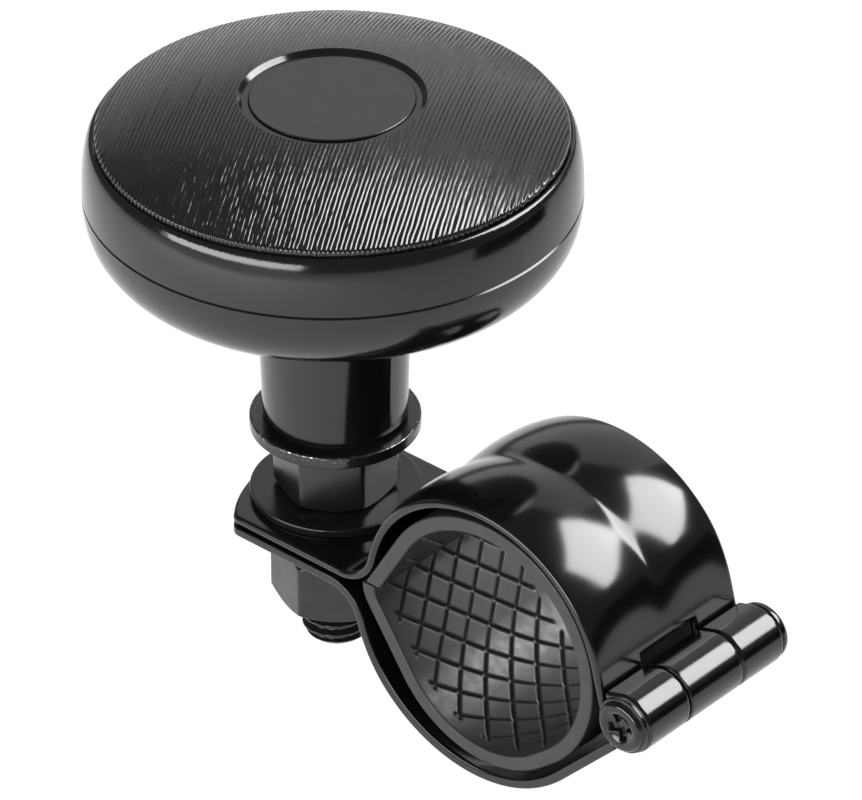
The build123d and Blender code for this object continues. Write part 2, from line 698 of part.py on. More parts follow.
def lower_shell():
    """Bowl and neck moulded in one piece."""
    curve = bowl_curve(0, 0)
    fillet_foot = BOWL_BOTTOM - NECK_FILLET
    bend = NECK_FILLET * (1 - sqrt(0.5))
    foot_bevel = NECK_FOOT_BEVEL
    neck = [
        Vector(0, 0, SHELL_PARTING),
        Vector(0, 0, NECK_BOTTOM),
        Vector(NECK_BOTTOM_R - foot_bevel, 0, NECK_BOTTOM),
        Vector(NECK_BOTTOM_R, 0, NECK_BOTTOM + foot_bevel),
        Vector(NECK_TOP_R, 0, fillet_foot),
    ]
    top = Vector(KNOB_R - PARTING_BEVEL, 0, SHELL_PARTING)
    edges = [Edge.make_line(a, b) for a, b in zip(neck, neck[1:])]
    middle = Vector(NECK_TOP_R + bend, 0, BOWL_BOTTOM - bend)
    edges.append(Edge.make_three_point_arc(neck[-1], middle, curve[0]))
    edges.append(Edge.make_spline(curve))
    edges.append(Edge.make_line(curve[-1], top))
    edges.append(Edge.make_line(top, neck[0]))
    outside = revolve(face_from(edges), Axis.Z)

    hub_r = BEARING_OUTER_R + SEAT_FIT + HUB_WALL
    wall = bowl_curve(SHELL_WALL, hub_r + SHELL_WALL)
    floor = Vector(hub_r, 0, wall[0].Z)
    lid = [Vector(wall[-1].X, 0, SHELL_PARTING), Vector(hub_r, 0, SHELL_PARTING)]
    cavity = [Edge.make_spline(wall), Edge.make_line(wall[-1], lid[0])]
    cavity += [Edge.make_line(lid[0], lid[1]), Edge.make_line(lid[1], floor)]
    cavity.append(Edge.make_line(floor, wall[0]))
    body = outside - revolve(face_from(cavity), Axis.Z)
    body -= rod(hub_r + 1, BEARING_TOP - HUB_DROP, SHELL_PARTING)
    body -= rod(BEARING_OUTER_R + SEAT_FIT, BEARING_BOTTOM, SHELL_PARTING)
    body -= rod(FLOOR_HOLE_R, BEARING_BOTTOM - FLOOR_RELIEF, BEARING_BOTTOM)
    body -= rod(NECK_BORE_R, NECK_BOTTOM, BEARING_BOTTOM)
    bush_low = NECK_BOTTOM - BUSH_PROUD
    body -= rod(SPINDLE_R + BUSH_FIT + BUSH_WALL + SEAT_FIT, NECK_BOTTOM, bush_low + BUSH_LENGTH)
    body -= rod(BUSH_FLANGE_R + SEAT_FIT, NECK_BOTTOM, bush_low + BUSH_FLANGE_T)

    rib_top = SHELL_PARTING - RIB_DROP
    rib = Pos(hub_r + KNOB_R / 2 - 1, 0, (BOWL_BOTTOM + 1 + rib_top) / 2) * Box(
        KNOB_R, RIB_T, rib_top - BOWL_BOTTOM - 1
    )
    for i in range(RIB_COUNT):
        body += (Rot(0, 0, 360 * i / RIB_COUNT) * rib) & outside
    for place in screw_places():
        body += place * rod(BOSS_R, BOWL_BOTTOM + 1, SHELL_PARTING - BOSS_GAP) & outside
        body -= place * rod(SHELL_SCREW_R + SEAT_FIT, SCREW_TIP - 1, SHELL_PARTING)
    inner = wall[-1].X
    body += ring(inner, inner + TONGUE_T, SHELL_PARTING - 1, SHELL_PARTING + TONGUE_RISE)
    return at_post(body)


def screw_places():
    turn = 360 / SHELL_SCREWS
    return [Rot(0, 0, 90 + i * turn) * Pos(SHELL_SCREW_CIRCLE, 0, 0) for i in range(SHELL_SCREWS)]


def upper_shell():
    """Rim of the knob, with a deck that carries the insert."""
    steps = 10
    low = SHELL_PARTING + PARTING_BEVEL
    curve = []
    for i in range(steps + 1):
        t = pi / 2 * i / steps
        r = RIM_R + (KNOB_R - RIM_R) * cos(t)
        curve.append(Vector(r, 0, low + (RIM_TOP - low) * sin(t)))
    corners = [
        Vector(RIM_R, 0, RIM_TOP),
        Vector(RIM_R, 0, DECK_TOP),
        Vector(0, 0, DECK_TOP),
        Vector(0, 0, SHELL_PARTING),
        Vector(KNOB_R - PARTING_BEVEL, 0, SHELL_PARTING),
        Vector(KNOB_R, 0, low),
    ]
    edges = [Edge.make_spline(curve)]
    edges += [Edge.make_line(a, b) for a, b in zip(corners, corners[1:])]
    body = revolve(face_from(edges), Axis.Z)
    inner = KNOB_R - SHELL_WALL
    body -= rod(inner, SHELL_PARTING, DECK_BOTTOM)
    rebate = inner + TONGUE_T + TONGUE_FIT
    body -= rod(rebate, SHELL_PARTING, SHELL_PARTING + TONGUE_RISE + TONGUE_FIT)
    press_inner = OUTER_LAND_R + SHIELD_SEAT
    body += ring(press_inner, press_inner + PRESS_RING_T, BEARING_TOP + BOSS_GAP, DECK_BOTTOM)
    for place in screw_places():
        body += place * rod(BOSS_R, SHELL_PARTING, DECK_BOTTOM)
        body -= place * rod(SHELL_SCREW_R + SHELL_SCREW_CLEAR, SHELL_PARTING, DECK_TOP)
        body -= place * rod(SHELL_SCREW_HEAD_R + SHELL_SCREW_CLEAR, SCREW_SEAT, DECK_TOP)
    return at_post(body)


def shell_screws():
    head_top = SCREW_SEAT + SHELL_SCREW_HEAD_T
    screw = rod(SHELL_SCREW_HEAD_R, SCREW_SEAT, head_top)
    screw += rod(SHELL_SCREW_R, SCREW_TIP, SCREW_SEAT)
    screw -= cross_recess(SHELL_SCREW_HEAD_R * 0.6, SHELL_SCREW_HEAD_R * 0.3, 1.0, head_top)
    return Compound([at_post(place * screw) for place in screw_places()])


def dome_height(r):
    """Height of the insert's domed face at a radius."""
    sphere = (INSERT_R**2 + INSERT_CROWN**2) / (2 * INSERT_CROWN)
    return INSERT_APEX - sphere + sqrt(sphere**2 - r**2)


RECESS_TOP = dome_height(RECESS_R)
MEDALLION_TOP = RECESS_TOP - MEDALLION_INSET
MEDALLION_BOTTOM = MEDALLION_TOP - MEDALLION_T


def top_insert():
    """Domed cover, with a bevelled recess for the medallion."""
    pocket = MEDALLION_R + MEDALLION_FIT
    ledge = RECESS_TOP - RECESS_BEVEL
    skirt = INSERT_R - INSERT_SKIRT
    hollow = dome_height(skirt) - INSERT_WALL
    web = MEDALLION_BOTTOM - INSERT_WALL
    points = [
        (RECESS_R, RECESS_TOP),
        (RECESS_R - RECESS_BEVEL, ledge),
        (pocket, ledge),
        (pocket, MEDALLION_BOTTOM),
        (0, MEDALLION_BOTTOM),
        (0, web),
        (RECESS_R, web),
        (skirt, hollow),
        (skirt, DECK_TOP),
        (INSERT_R, DECK_TOP),
        (INSERT_R, INSERT_EDGE),
    ]
    corners = [Vector(r, 0, z) for r, z in points]
    half = (RECESS_R + INSERT_R) / 2
    dome = Edge.make_three_point_arc(corners[-1], Vector(half, 0, dome_height(half)), corners[0])
    edges = [Edge.make_line(a, b) for a, b in zip(corners, corners[1:])]
    body = revolve(face_from([*edges, dome]), Axis.Z)
    rims = [e for e in body.edges() if abs(e.center().Z - INSERT_EDGE) < 0.01]
    return at_post(fillet(rims, INSERT_EDGE_R))


def centre_medallion():
    bevel = MEDALLION_BEVEL
    corners = [(0, MEDALLION_BOTTOM), (MEDALLION_R, MEDALLION_BOTTOM)]
    corners += [(MEDALLION_R, MEDALLION_TOP - bevel), (MEDALLION_R - bevel, MEDALLION_TOP)]
    corners.append((0, MEDALLION_TOP))
    return at_post(turned(corners))


def on_hinge(shape):
    """Lays a shape made round Z on the hinge, with its top towards -Y."""
    return Pos(HINGE_X, 0, HINGE_Z) * Rot(90, 0, 0) * shape


def hinge_sleeve():
    """Hollow pin with a low head at its back end."""
    front = HALF_WIDTH - SLEEVE_SHORT
    back = -HALF_WIDTH - SLEEVE_HEAD_T
    bevel = SLEEVE_HEAD_T / 2
    pin = turned(
        [
            (0, back),
            (SLEEVE_HEAD_R - bevel, back),
            (SLEEVE_HEAD_R, back + bevel),
            (SLEEVE_HEAD_R, -HALF_WIDTH),
            (SLEEVE_R, -HALF_WIDTH),
            (SLEEVE_R, front),
            (0, front),
        ]
    )
    bore = SLEEVE_R - SLEEVE_WALL + SCREW_FIT
    return on_hinge(pin - rod(bore, HALF_WIDTH - SCREW_LENGTH - 1, front))


def hinge_screw():
    """Screw with a stepped head, threaded into the sleeve from the front."""
    face = HALF_WIDTH + SCREW_HEAD_T
    bevel = 0.5
    screw = turned(
        [
            (0, HALF_WIDTH - SCREW_LENGTH),
            (SLEEVE_R - SLEEVE_WALL, HALF_WIDTH - SCREW_LENGTH),
            (SLEEVE_R - SLEEVE_WALL, HALF_WIDTH),
            (SCREW_RIM_R, HALF_WIDTH),
            (SCREW_RIM_R, HALF_WIDTH + SCREW_RIM_T),
            (SCREW_HEAD_R, HALF_WIDTH + SCREW_RIM_T),
            (SCREW_HEAD_R, face - bevel),
            (SCREW_HEAD_R - bevel, face),
            (0, face),
        ]
    )
    return on_hinge(screw - cross_recess(SCREW_HEAD_R * 0.6, SCREW_HEAD_R * 0.24, 0.9, face))


PIECES = [
    upper_clamp_half,
    lower_clamp_half,
    rim_liner,
    hinge_sleeve,
    hinge_screw,
    spindle,
    collar_washer,
    flat_washer,
    spring_washer,
    hex_nut,
    neck_bush,
    bearing_inner_race,
    bearing_outer_race,
    bearing_balls,
    bearing_cage,
    bearing_shields,
    thrust_washer,
    retaining_ring,
    lower_shell,
    upper_shell,
    shell_screws,
    top_insert,
    centre_medallion,
]

os.makedirs("parts", exist_ok=True)
for piece in PIECES:
    export_step(piece(), "parts/" + piece.__name__ + ".step")
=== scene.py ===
"""Steering wheel spinner knob: its visible surfaces, materials and studio, round the CAD frame."""

import math

import bmesh
import bpy
import numpy as np
from mathutils import Matrix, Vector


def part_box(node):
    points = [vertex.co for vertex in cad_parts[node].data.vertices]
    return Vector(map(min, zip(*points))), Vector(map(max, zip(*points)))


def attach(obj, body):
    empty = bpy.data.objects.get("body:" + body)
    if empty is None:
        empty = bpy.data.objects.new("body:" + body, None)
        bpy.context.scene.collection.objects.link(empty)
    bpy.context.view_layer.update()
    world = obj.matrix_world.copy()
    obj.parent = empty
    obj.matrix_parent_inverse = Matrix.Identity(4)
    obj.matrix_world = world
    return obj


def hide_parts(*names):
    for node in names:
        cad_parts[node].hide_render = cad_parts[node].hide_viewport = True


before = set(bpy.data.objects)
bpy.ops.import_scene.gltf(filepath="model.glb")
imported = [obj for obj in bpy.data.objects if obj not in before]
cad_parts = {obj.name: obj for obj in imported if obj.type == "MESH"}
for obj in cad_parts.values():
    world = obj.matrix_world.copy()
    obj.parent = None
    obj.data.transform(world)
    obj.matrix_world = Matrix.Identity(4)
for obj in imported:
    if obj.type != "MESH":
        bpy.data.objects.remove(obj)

bl_info = {
    "name": "Steering wheel spinner knob",
    "version": (1, 0, 0),
    "blender": (4, 5, 0),
    "location": "3D View > Sidebar > Spinner knob",
    "description": "Builds a spinner knob's surfaces, materials and studio round its CAD frame",
    "category": "Object",
}

# Sizes are in millimetres here, and a mesh is scaled to metres when it is made.
MM = 0.001

# Post: the stud, the hexagon, the flange and the knob stand on this axis
STUD_X = -39.2
STUD_R = 4.9
STUD_END_Z = -23.15
STUD_CHAMFER = 1.0
THREAD_TOP_Z = -0.2
# Where the thread's flank starts and how wide it is, in shares of half a pitch
THREAD_FLANK = (0.2, 0.66)
THREAD_ROWS = 16
HEX_BOTTOM = 1.15
FLANGE_BOTTOM = 10.95
FLANGE_TOP = 12.75
FLANGE_R = 11.7
HEX_FLATS = 15.0
HEX_TURN = -22.0
HEX_SHARPNESS = 90
# Rows this far from each end of a hexagonal bar follow its chamfer.
HEX_ROWS = np.array([0, 0.03, 0.08, 0.15, 0.25, 0.37, 0.5, 0.65, 0.85, 1.1])
HEX_PLAIN = 1.6
CHAMFER_DEG = 30.0
CHAMFER_LAND = 0.97
SPINDLE_R = 5.0
JOURNAL_R = 4.0
BEARING_BOTTOM = 38.75
CLIP_BOTTOM = 46.55
CLIP_TOP = 47.6
CLIP_GROOVE_R = 3.4
SPINDLE_TOP = 48.75
COLLAR_R = 11.8
EAR_TOP = -0.15
LOWER_EAR_BOTTOM = -3.25
NUT_FLATS = 16.0
NUT_HEIGHT = 9.3
FLAT_WASHER_R = 10.0
FLAT_WASHER_T = 2.0
WASHER_EDGE = 0.25
WASHER_GAP = 0.3
SPRING_WASHER_R = 9.05
SPRING_WASHER_T = 2.2
SPRING_WASHER_EDGE = 0.2
SPLIT_DEG = -75.0
SPLIT_LEAN = 20.0
SPLIT_HALF = 0.66
NUT_TOP = LOWER_EAR_BOTTOM - FLAT_WASHER_T - SPRING_WASHER_T
NUT_GAP = 0.05
NUT_COUNTERSINK = 0.5

# Clamp: sheet bent to two hoops round the liner, whose bore is centred on the origin
SHEET = 1.3
HALF_WIDTH = 13.9
UPPER_HOOP = (-0.8, -0.75, 20.2)
LOWER_HOOP = (-2.1, -0.4, 21.25)
EAR_FILLET = 5.8
RIB_HEIGHT = 1.0
RIB_POWER = 2.2
RIB_VALLEY = 1.0
RIB_FADE = 26.0
EAR_REACH = 11.7
EAR_END_R = 20.5
EAR_CORNER = 1.8
WALL_DEG = 46.0
HINGE_X = 24.1
HINGE_Z = -1.5
BARREL_R = 4.3
ROLL_R = BARREL_R - SHEET / 2
ROLL_END = 107.0
ROLL_TAIL = 2.6
ROLL_STEP = 0.3
TONGUE = 5.25
NOTCH = 5.4
NOTCH_CLEAR = 1.6
NECK_R = 2.5
HOLE_R = 5.3
SLOT_TRAVEL = 3.9
SLEEVE_R = 2.95
SLEEVE_HEAD_R = 4.15
SLEEVE_HEAD_T = 1.3
SLEEVE_GAP = 0.05
SCREW_CORE_R = 1.85
SCREW_HEAD_R = 3.6
SCREW_HEAD_T = 1.3
SCREW_RIM_R = 4.0
SCREW_RIM_T = 0.5
SCREW_LENGTH = 12.0
SCREW_FACE_R = 2.8
SCREW_TURN = 20.0
DISH_R = 2.7
DISH_SLOPE = 1.5
DISH_DEPTH = 0.5
CROSS_R = 1.8
CROSS_HALF = 0.55
CROSS_DEPTH = 0.65
# Cells this wide along every sheared edge of the clamp leave the Bevel room.
EDGE_ROOM = 0.75
EDGE_SEGMENTS = 4
EDGE_DEG = 50.0

# Liner: one strip of rubber
BORE_R = 16.2
LINER_T = 2.15
LINER_HALF = 13.7
LINER_LEAN = 31.0
LINER_END_Z = 0.05
SAG_DEG = -50.8
SAG_RUN = 2.6
SAG_R = 14.6
RISE_DEG = -145.0
RISE_RUN = 11.0
TIP_BEND_R = 3.4
LINER_CORNER = 0.3
LINER_STEP = 0.05
# Where the two sets of grooves lie, where they end along the strip, how far from its sides they
# stop, and how finely they are drawn
GROOVE_PHASES = (-33.52, -37.54)
GROOVE_REACH = (-53.7, 50.4)
GROOVE_MARGIN = 1.8
CELLS_PER_GROOVE = 27

# Knob cover
INSERT_R = 31.4
INSERT_EDGE = 57.45
INSERT_CROWN = 5.6
DECK_TOP = 55.25
RECESS_R = 12.5
RECESS_BEVEL = 0.65
MEDALLION_R = 11.0
MEDALLION_T = 1.05
MEDALLION_INSET = 0.35
MEDALLION_GAP = 0.05
COVER_EDGE_R = 0.6
COVER_WALL = 2.0
SKIRT_T = 1.8
SMOOTH_MARGIN = 0.35
GRAIN_DEG = 118.7


def metres(name, description, default, low, high):
    """A size in metres, shown in the panel with its limits."""
    return bpy.props.FloatProperty(name=name, description=description, default=default,
                                   min=low, max=high, unit="LENGTH", precision=5)


def hex_colour(name, description, default):
    return bpy.props.StringProperty(name=name, description=description, default=default)


class KnobSizes(bpy.types.PropertyGroup):
    """Sizes that change the look without changing the fit."""

    thread_pitch: metres(
        "Thread pitch", "Rise of one turn of the stud's thread", 0.0015, 0.0005, 0.003)
    thread_depth: metres(
        "Thread depth", "Crest to root of the stud's thread", 0.00085, 0, 0.0015)
    sheet_edge: metres(
        "Sheet edge", "Radius on the sheared edges of the clamp's steel", 0.0006, 0.00005, 0.00062)
    rib_spacing: metres(
        "Groove spacing", "Distance between the liner's grooves along the strip",
        0.00527, 0.002, 0.01)
    groove_width: metres(
        "Groove width", "Width of one groove in the rubber", 0.00042, 0.0002, 0.0015)
    groove_depth: metres(
        "Groove depth", "Depth of one groove in the rubber", 0.0004, 0, 0.001)
    grain_pitch: metres(
        "Grain pitch", "Distance between the grain lines of the knob's cover",
        0.0006, 0.0002, 0.003)


class KnobColours(bpy.types.PropertyGroup):
    """Colours of the finishes, as sRGB hex values."""

    shell: hex_colour("Shell", "Moulded black ABS of the knob", "#0c0c0d")
    cover: hex_colour("Cover", "Moulded black ABS of the grained cover", "#111112")
    enamel: hex_colour("Clamp enamel", "Black stoving enamel of the clamp", "#0a0a0b")
    oxide: hex_colour("Black oxide", "Black oxide of the turned steel", "#3f3f3e")
    rubber: hex_colour("Rubber", "Moulded rubber of the liner", "#1e1f21")
    floor: hex_colour("Floor", "Paper of the studio floor", "#f4f4f4")


def sizes():
    return bpy.context.scene.knob_sizes


def colours():
    return bpy.context.scene.knob_colours


def polar(x, z, radius, degrees):
    """Point at a radius and an angle from (x, z)."""
    turn = math.radians(degrees)
    return x + radius * math.cos(turn), z + radius * math.sin(turn)


def rounded(corners, steps=5, lead=0.35):
    """Path through (a, b, radius) corners, with an arc of that radius in place of each corner.

    The arc's centre lies radius / sin(h) from the corner on the line that halves its angle 2h.
    Two more points just before and after each arc keep the flat sides flat when shaded.
    """
    path = [np.array(corners[0][:2], float)]
    for before, here, after in zip(corners, corners[1:], corners[2:]):
        p, q, s = (np.array(c[:2], float) for c in (before, here, after))
        if not here[2]:
            path.append(q)
            continue
        a, b = (p - q) / np.linalg.norm(p - q), (s - q) / np.linalg.norm(s - q)
        half = math.acos(max(-1.0, min(1.0, float(a @ b)))) / 2
        reach = here[2] / math.tan(half)
        middle = q + (a + b) / np.linalg.norm(a + b) * here[2] / math.sin(half)
        start, end = q + a * reach, q + b * reach
        turn = math.pi - 2 * half
        t = np.linspace(0, 1, steps + 1)[:, None]
        arc = np.sin((1 - t) * turn) * (start - middle) + np.sin(t * turn) * (end - middle)
        path += [start + a * lead * here[2], *(middle + arc / math.sin(turn)),
                 end + b * lead * here[2]]
    path.append(np.array(corners[-1][:2], float))
    return np.array(path)


def spread(path, step):
    """The same path with more points, so that no two are further apart than step."""
    gaps = np.linalg.norm(np.diff(path, axis=0), axis=1)
    parts = [np.linspace(a, b, max(1, math.ceil(g / step)) + 1)[:-1]
             for a, b, g in zip(path, path[1:], gaps)]
    return np.vstack([*parts, path[-1:]])


def around(radii, heights, turns):
    """Surface round Z: x = r cos a, y = r sin a, z = height, for every angle a."""
    a = np.arange(turns) * 2 * np.pi / turns
    radii, heights = (v if np.ndim(v) == 2 else np.outer(v, np.ones(turns))
                      for v in (radii, heights))
    return np.stack([radii * np.cos(a), radii * np.sin(a), heights], -1)


def lathe(profile, turns):
    """Surface of revolution of a profile of (radius, height) points."""
    return around(profile[:, 0], profile[:, 1], turns)


def capped(points):
    """The same rows of points, with each end closed by a row at its middle."""
    ends = [np.broadcast_to(row.mean(0), row.shape) for row in (points[0], points[-1])]
    return np.concatenate([ends[:1], points, ends[1:]])


def at_post(points):
    return points + np.array([STUD_X, 0, 0])


def on_hinge(points):
    """Lays a shape made round Z on the hinge, with its top towards -Y."""
    x, y, z = np.moveaxis(points, -1, 0)
    return np.stack([x + HINGE_X, -z, y + HINGE_Z], -1)


def grid_faces(rows, columns, wrap_rows, wrap_columns, first=0):
    """Four-sided faces of a grid of points, joined to itself where it wraps."""
    index = first + np.arange(rows * columns).reshape(rows, columns)
    if wrap_rows:
        index = np.vstack([index, index[:1]])
    if wrap_columns:
        index = np.hstack([index, index[:, :1]])
    corners = [index[:-1, :-1], index[1:, :-1], index[1:, 1:], index[:-1, 1:]]
    return np.stack(corners, -1).reshape(-1, 4)


def linked(name, data):
    """Object at the origin that shows this data."""
    made = bpy.data.objects.new(name, data)
    bpy.context.scene.collection.objects.link(made)
    return made


def mesh_object(name, points, faces, closed=True, sharp=38, marks=None):
    """Object at the origin with these points (in mm), its doubles merged and faces outwards.

    marks is (attribute name, one value for each point), for a material to read.
    """
    mesh = bpy.data.meshes.new(name)
    mesh.from_pydata(np.asarray(points, float).reshape(-1, 3) * MM, [], faces)
    if marks:
        values = mesh.attributes.new(marks[0], "FLOAT", "POINT").data
        values.foreach_set("value", np.asarray(marks[1], np.float32).ravel())
    body = bmesh.new()
    body.from_mesh(mesh)
    bmesh.ops.remove_doubles(body, verts=body.verts, dist=2e-7)
    bmesh.ops.dissolve_degenerate(body, edges=body.edges, dist=1e-8)
    bmesh.ops.recalc_face_normals(body, faces=body.faces)
    if closed and body.calc_volume(signed=True) < 0:
        bmesh.ops.reverse_faces(body, faces=body.faces)
    body.to_mesh(mesh)
    body.free()
    mesh.shade_smooth()
    mesh.set_sharp_from_angle(angle=math.radians(sharp))
    return linked(name, mesh)


def grid_object(name, points, wrap_rows=False, sharp=38, marks=None):
    """Object of a grid of points whose columns go all the way round."""
    faces = grid_faces(*points.shape[:2], wrap_rows, True)
    return mesh_object(name, points, faces, sharp=sharp, marks=marks)


def fit(piece, body, node, make):
    """Puts a piece in place of its CAD node, with the finish that make gives."""
    piece.data.materials.append(material(make))
    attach(piece, body)
    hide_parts(node)
    return piece


def dress(make, *nodes):
    """Gives CAD nodes a finish and leaves their shapes alone."""
    for node in nodes:
        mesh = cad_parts[node].data
        mesh.materials.clear()
        mesh.materials.append(material(make))


def srgb(code):
    """Linear colour of an sRGB hex value."""
    parts = [int(code[i:i + 2], 16) / 255 for i in (1, 3, 5)]
    return (*[c / 12.92 if c <= 0.04045 else ((c + 0.055) / 1.055) ** 2.4 for c in parts], 1.0)


def add(tree, kind, inputs=None, **settings):
    """Adds a node: an input given a socket is linked to it, any other value is set."""
    node = tree.nodes.new(kind)
    for key, value in settings.items():
        setattr(node, key, value)
    for key, value in (inputs or {}).items():
        if isinstance(value, bpy.types.NodeSocket):
            tree.links.new(value, node.inputs[key])
        else:
            node.inputs[key].default_value = value
    return node


EVEN = (1, 1, 1)
# Shares of the noise: the colour's two stops, the ends of the roughness, and where specks begin
# and are full
RAMP_STOPS = (0.35, 0.65)
NOISE_RANGE = (0.3, 0.7)
SPECKS = (0.6, 0.66)


def finish(name, shader, bump=None, colour=None, rough=None, wear_and_painted_shade=None):
    """Material whose patterns are noise on Object coordinates, all scales in mm.

    bump is rows of (stretch, turn, scale, depth, detail), with "lines" added for bands.
    rough is (stretch, turn, scale, low, high, detail).
    colour is (first hex, second hex, scale).
    wear_and_painted_shade is (attribute, hex, scale): where the mesh carries that attribute it
    takes that colour, in specks of that scale, or evenly for None. It gives the flange's real wear
    specks, and the painted shade that darkens the liner's grooves.
    """
    made = bpy.data.materials.new(name)
    made.use_nodes = True
    tree = made.node_tree
    tree.nodes.clear()
    out = add(tree, "ShaderNodeOutputMaterial")
    place = add(tree, "ShaderNodeTexCoord").outputs["Object"]
    principled = add(tree, "ShaderNodeBsdfPrincipled", shader)

    def pattern(stretch, turn, millimetres, detail, lines=False):
        turned = add(tree, "ShaderNodeMapping", {
            "Vector": place, "Rotation": (0, 0, math.radians(turn)), "Scale": stretch},
            vector_type="TEXTURE").outputs[0]
        if lines:
            # A band texture of scale 1 repeats every pi / 10.
            return add(tree, "ShaderNodeTexWave", {
                "Vector": turned, "Scale": 1000 * math.pi / 10 / millimetres,
                "Distortion": 2.2, "Detail": detail, "Detail Scale": 1.5},
                bands_direction="Y").outputs["Fac"]
        return add(tree, "ShaderNodeTexNoise", {
            "Vector": turned, "Scale": 1000 / millimetres,
            "Detail": detail, "Roughness": 0.55}).outputs["Fac"]

    if colour:
        first, second, millimetres = colour
        ramp = add(tree, "ShaderNodeValToRGB", {"Fac": pattern(EVEN, 0, millimetres, 3)})
        for stop, share, code in zip(ramp.color_ramp.elements, RAMP_STOPS, (first, second)):
            stop.position, stop.color = share, srgb(code)
        tint = ramp.outputs["Color"]
        # Mixes in the flange's wear specks, and the painted shade that darkens the liner's grooves.
        if wear_and_painted_shade:
            mark = add(tree, "ShaderNodeAttribute", attribute_name=wear_and_painted_shade[0]).outputs["Fac"]
            if wear_and_painted_shade[2]:
                specks = add(tree, "ShaderNodeMapRange", {
                    "Value": pattern(EVEN, 0, wear_and_painted_shade[2], 2),
                    "From Min": SPECKS[0], "From Max": SPECKS[1]})
                mark = add(tree, "ShaderNodeMath", {0: mark, 1: specks.outputs["Result"]},
                           operation="MULTIPLY").outputs[0]
            tint = add(tree, "ShaderNodeMix", {0: mark, 6: tint, 7: srgb(wear_and_painted_shade[1])},
                       data_type="RGBA").outputs[2]
        tree.links.new(tint, principled.inputs["Base Color"])
    if rough:
        stretch, turn, millimetres, low, high, detail = rough
        range_of = add(tree, "ShaderNodeMapRange", {
            "Value": pattern(stretch, turn, millimetres, detail),
            "From Min": NOISE_RANGE[0], "From Max": NOISE_RANGE[1], "To Min": low, "To Max": high})
        tree.links.new(range_of.outputs["Result"], principled.inputs["Roughness"])
    if bump:
        normal = None
        for stretch, turn, millimetres, depth, detail, *lines in bump:
            height = pattern(stretch, turn, millimetres, detail, bool(lines))
            inputs = {"Height": height, "Distance": depth * MM, "Strength": 1.0}
            if normal:
                inputs["Normal"] = normal
            normal = add(tree, "ShaderNodeBump", inputs).outputs["Normal"]
        tree.links.new(normal, principled.inputs["Normal"])
    tree.links.new(principled.outputs["BSDF"], out.inputs["Surface"])
    return made


_made = {}


def material(make):
    """The material that this function makes, made once."""
    if make not in _made:
        _made[make] = make()
    return _made[make]


def abs_gloss():
    """ABS, injection moulded in a polished tool: deep black with a mirror-like skin that is
    a little wavy where the wall shrank, so straight reflections waver softly."""
    return finish("ABS_moulded_high_gloss", {"IOR": 1.49},
                  bump=[(EVEN, 0, 12.0, 0.012, 1)], colour=("#0a0a0b", colours().shell, 6.0),
                  rough=(EVEN, 0, 14.0, 0.11, 0.16, 2))


def abs_grained():
    """ABS moulded in a tool with fine grain lines: they break up the light into thin streaks
    that lie side by side, with finer scratches between them."""
    pitch = sizes().grain_pitch / MM
    # The pattern is stretched 40 times along the lines, so that they run on.
    along = (40, 1, 1)
    return finish("ABS_moulded_grain_lines", {"IOR": 1.53},
                  bump=[(along, GRAIN_DEG, pitch, 0.1, 1, "lines"),
                        (along, GRAIN_DEG, pitch * 0.5, 0.03, 0)],
                  colour=("#0b0b0c", colours().cover, 3.0),
                  rough=(along, GRAIN_DEG, pitch * 3, 0.16, 0.22, 2))


def abs_satin():
    """ABS moulded in a blasted tool: an even satin that spreads each highlight."""
    return finish("ABS_moulded_satin", {"IOR": 1.53}, bump=[(EVEN, 0, 0.25, 0.004, 2)],
                  colour=("#0e0e0f", "#131314", 4.0), rough=(EVEN, 0, 5.0, 0.24, 0.3, 2))


def enamel():
    """Stoving enamel sprayed on pressed steel: a wet-looking black skin with the faint waves
    of spray paint, so reflections have soft edges."""
    return finish("stoving_enamel_sprayed_gloss", {"IOR": 1.48},
                  bump=[(EVEN, 0, 2.6, 0.006, 2)], colour=("#070708", colours().enamel, 5.0),
                  rough=(EVEN, 0, 8.0, 0.13, 0.17, 2))


def black_oxide_turned():
    """Steel, turned on a lathe and blackened: a dark metal whose fine tool marks smear
    highlights, with bright specks where the flange's edge has been knocked."""
    return finish("steel_turned_black_oxide", {"Metallic": 0.9},
                  bump=[((1, 1, 0.1), 0, 1.2, 0.003, 2)], colour=("#3b3b3a", colours().oxide, 3.0),
                  rough=(EVEN, 0, 3.0, 0.2, 0.27, 2), wear_and_painted_shade=("wear", "#d8d8d8", 0.25))


def black_oxide_forged():
    """Steel nut and washers, forged or stamped and blackened: a dull dark metal, mottled."""
    return finish("steel_forged_black_oxide", {"Metallic": 0.85},
                  bump=[(EVEN, 0, 1.4, 0.004, 2)], colour=("#353534", "#3a3a39", 2.5),
                  rough=(EVEN, 0, 2.2, 0.28, 0.35, 2))


def rubber():
    """Nitrile rubber, moulded: dark grey and satin, with the faint skin of the mould. Its grooves
    are painted nearly black, as painted shade in the recesses."""
    return finish("nitrile_rubber_moulded_satin", {"IOR": 1.52, "Specular IOR Level": 0.5},
                  bump=[(EVEN, 0, 0.5, 0.006, 2)], colour=("#18191a", colours().rubber, 2.0),
                  rough=(EVEN, 0, 1.5, 0.42, 0.58, 3), wear_and_painted_shade=("groove", "#040404", None))


def acetal():
    """Acetal, machined: milky white with a waxy sheen."""
    return finish("acetal_machined_natural",
                  {"IOR": 1.48, "Subsurface Weight": 0.2, "Subsurface Radius": (MM, MM, MM)},
                  bump=[((1, 1, 0.1), 0, 1.0, 0.003, 2)], colour=("#dcdad4", "#e6e4de", 3.0),
                  rough=(EVEN, 0, 3.0, 0.35, 0.45, 2))


def bearing_steel():
    """Chromium steel, ground: bright with fine rings from the grinding wheel."""
    return finish("bearing_steel_ground", {"Metallic": 1.0},
                  bump=[((1, 1, 0.1), 0, 0.8, 0.002, 3)], colour=("#b4b6b9", "#c2c4c7", 2.0),
                  rough=(EVEN, 0, 2.0, 0.16, 0.26, 3))


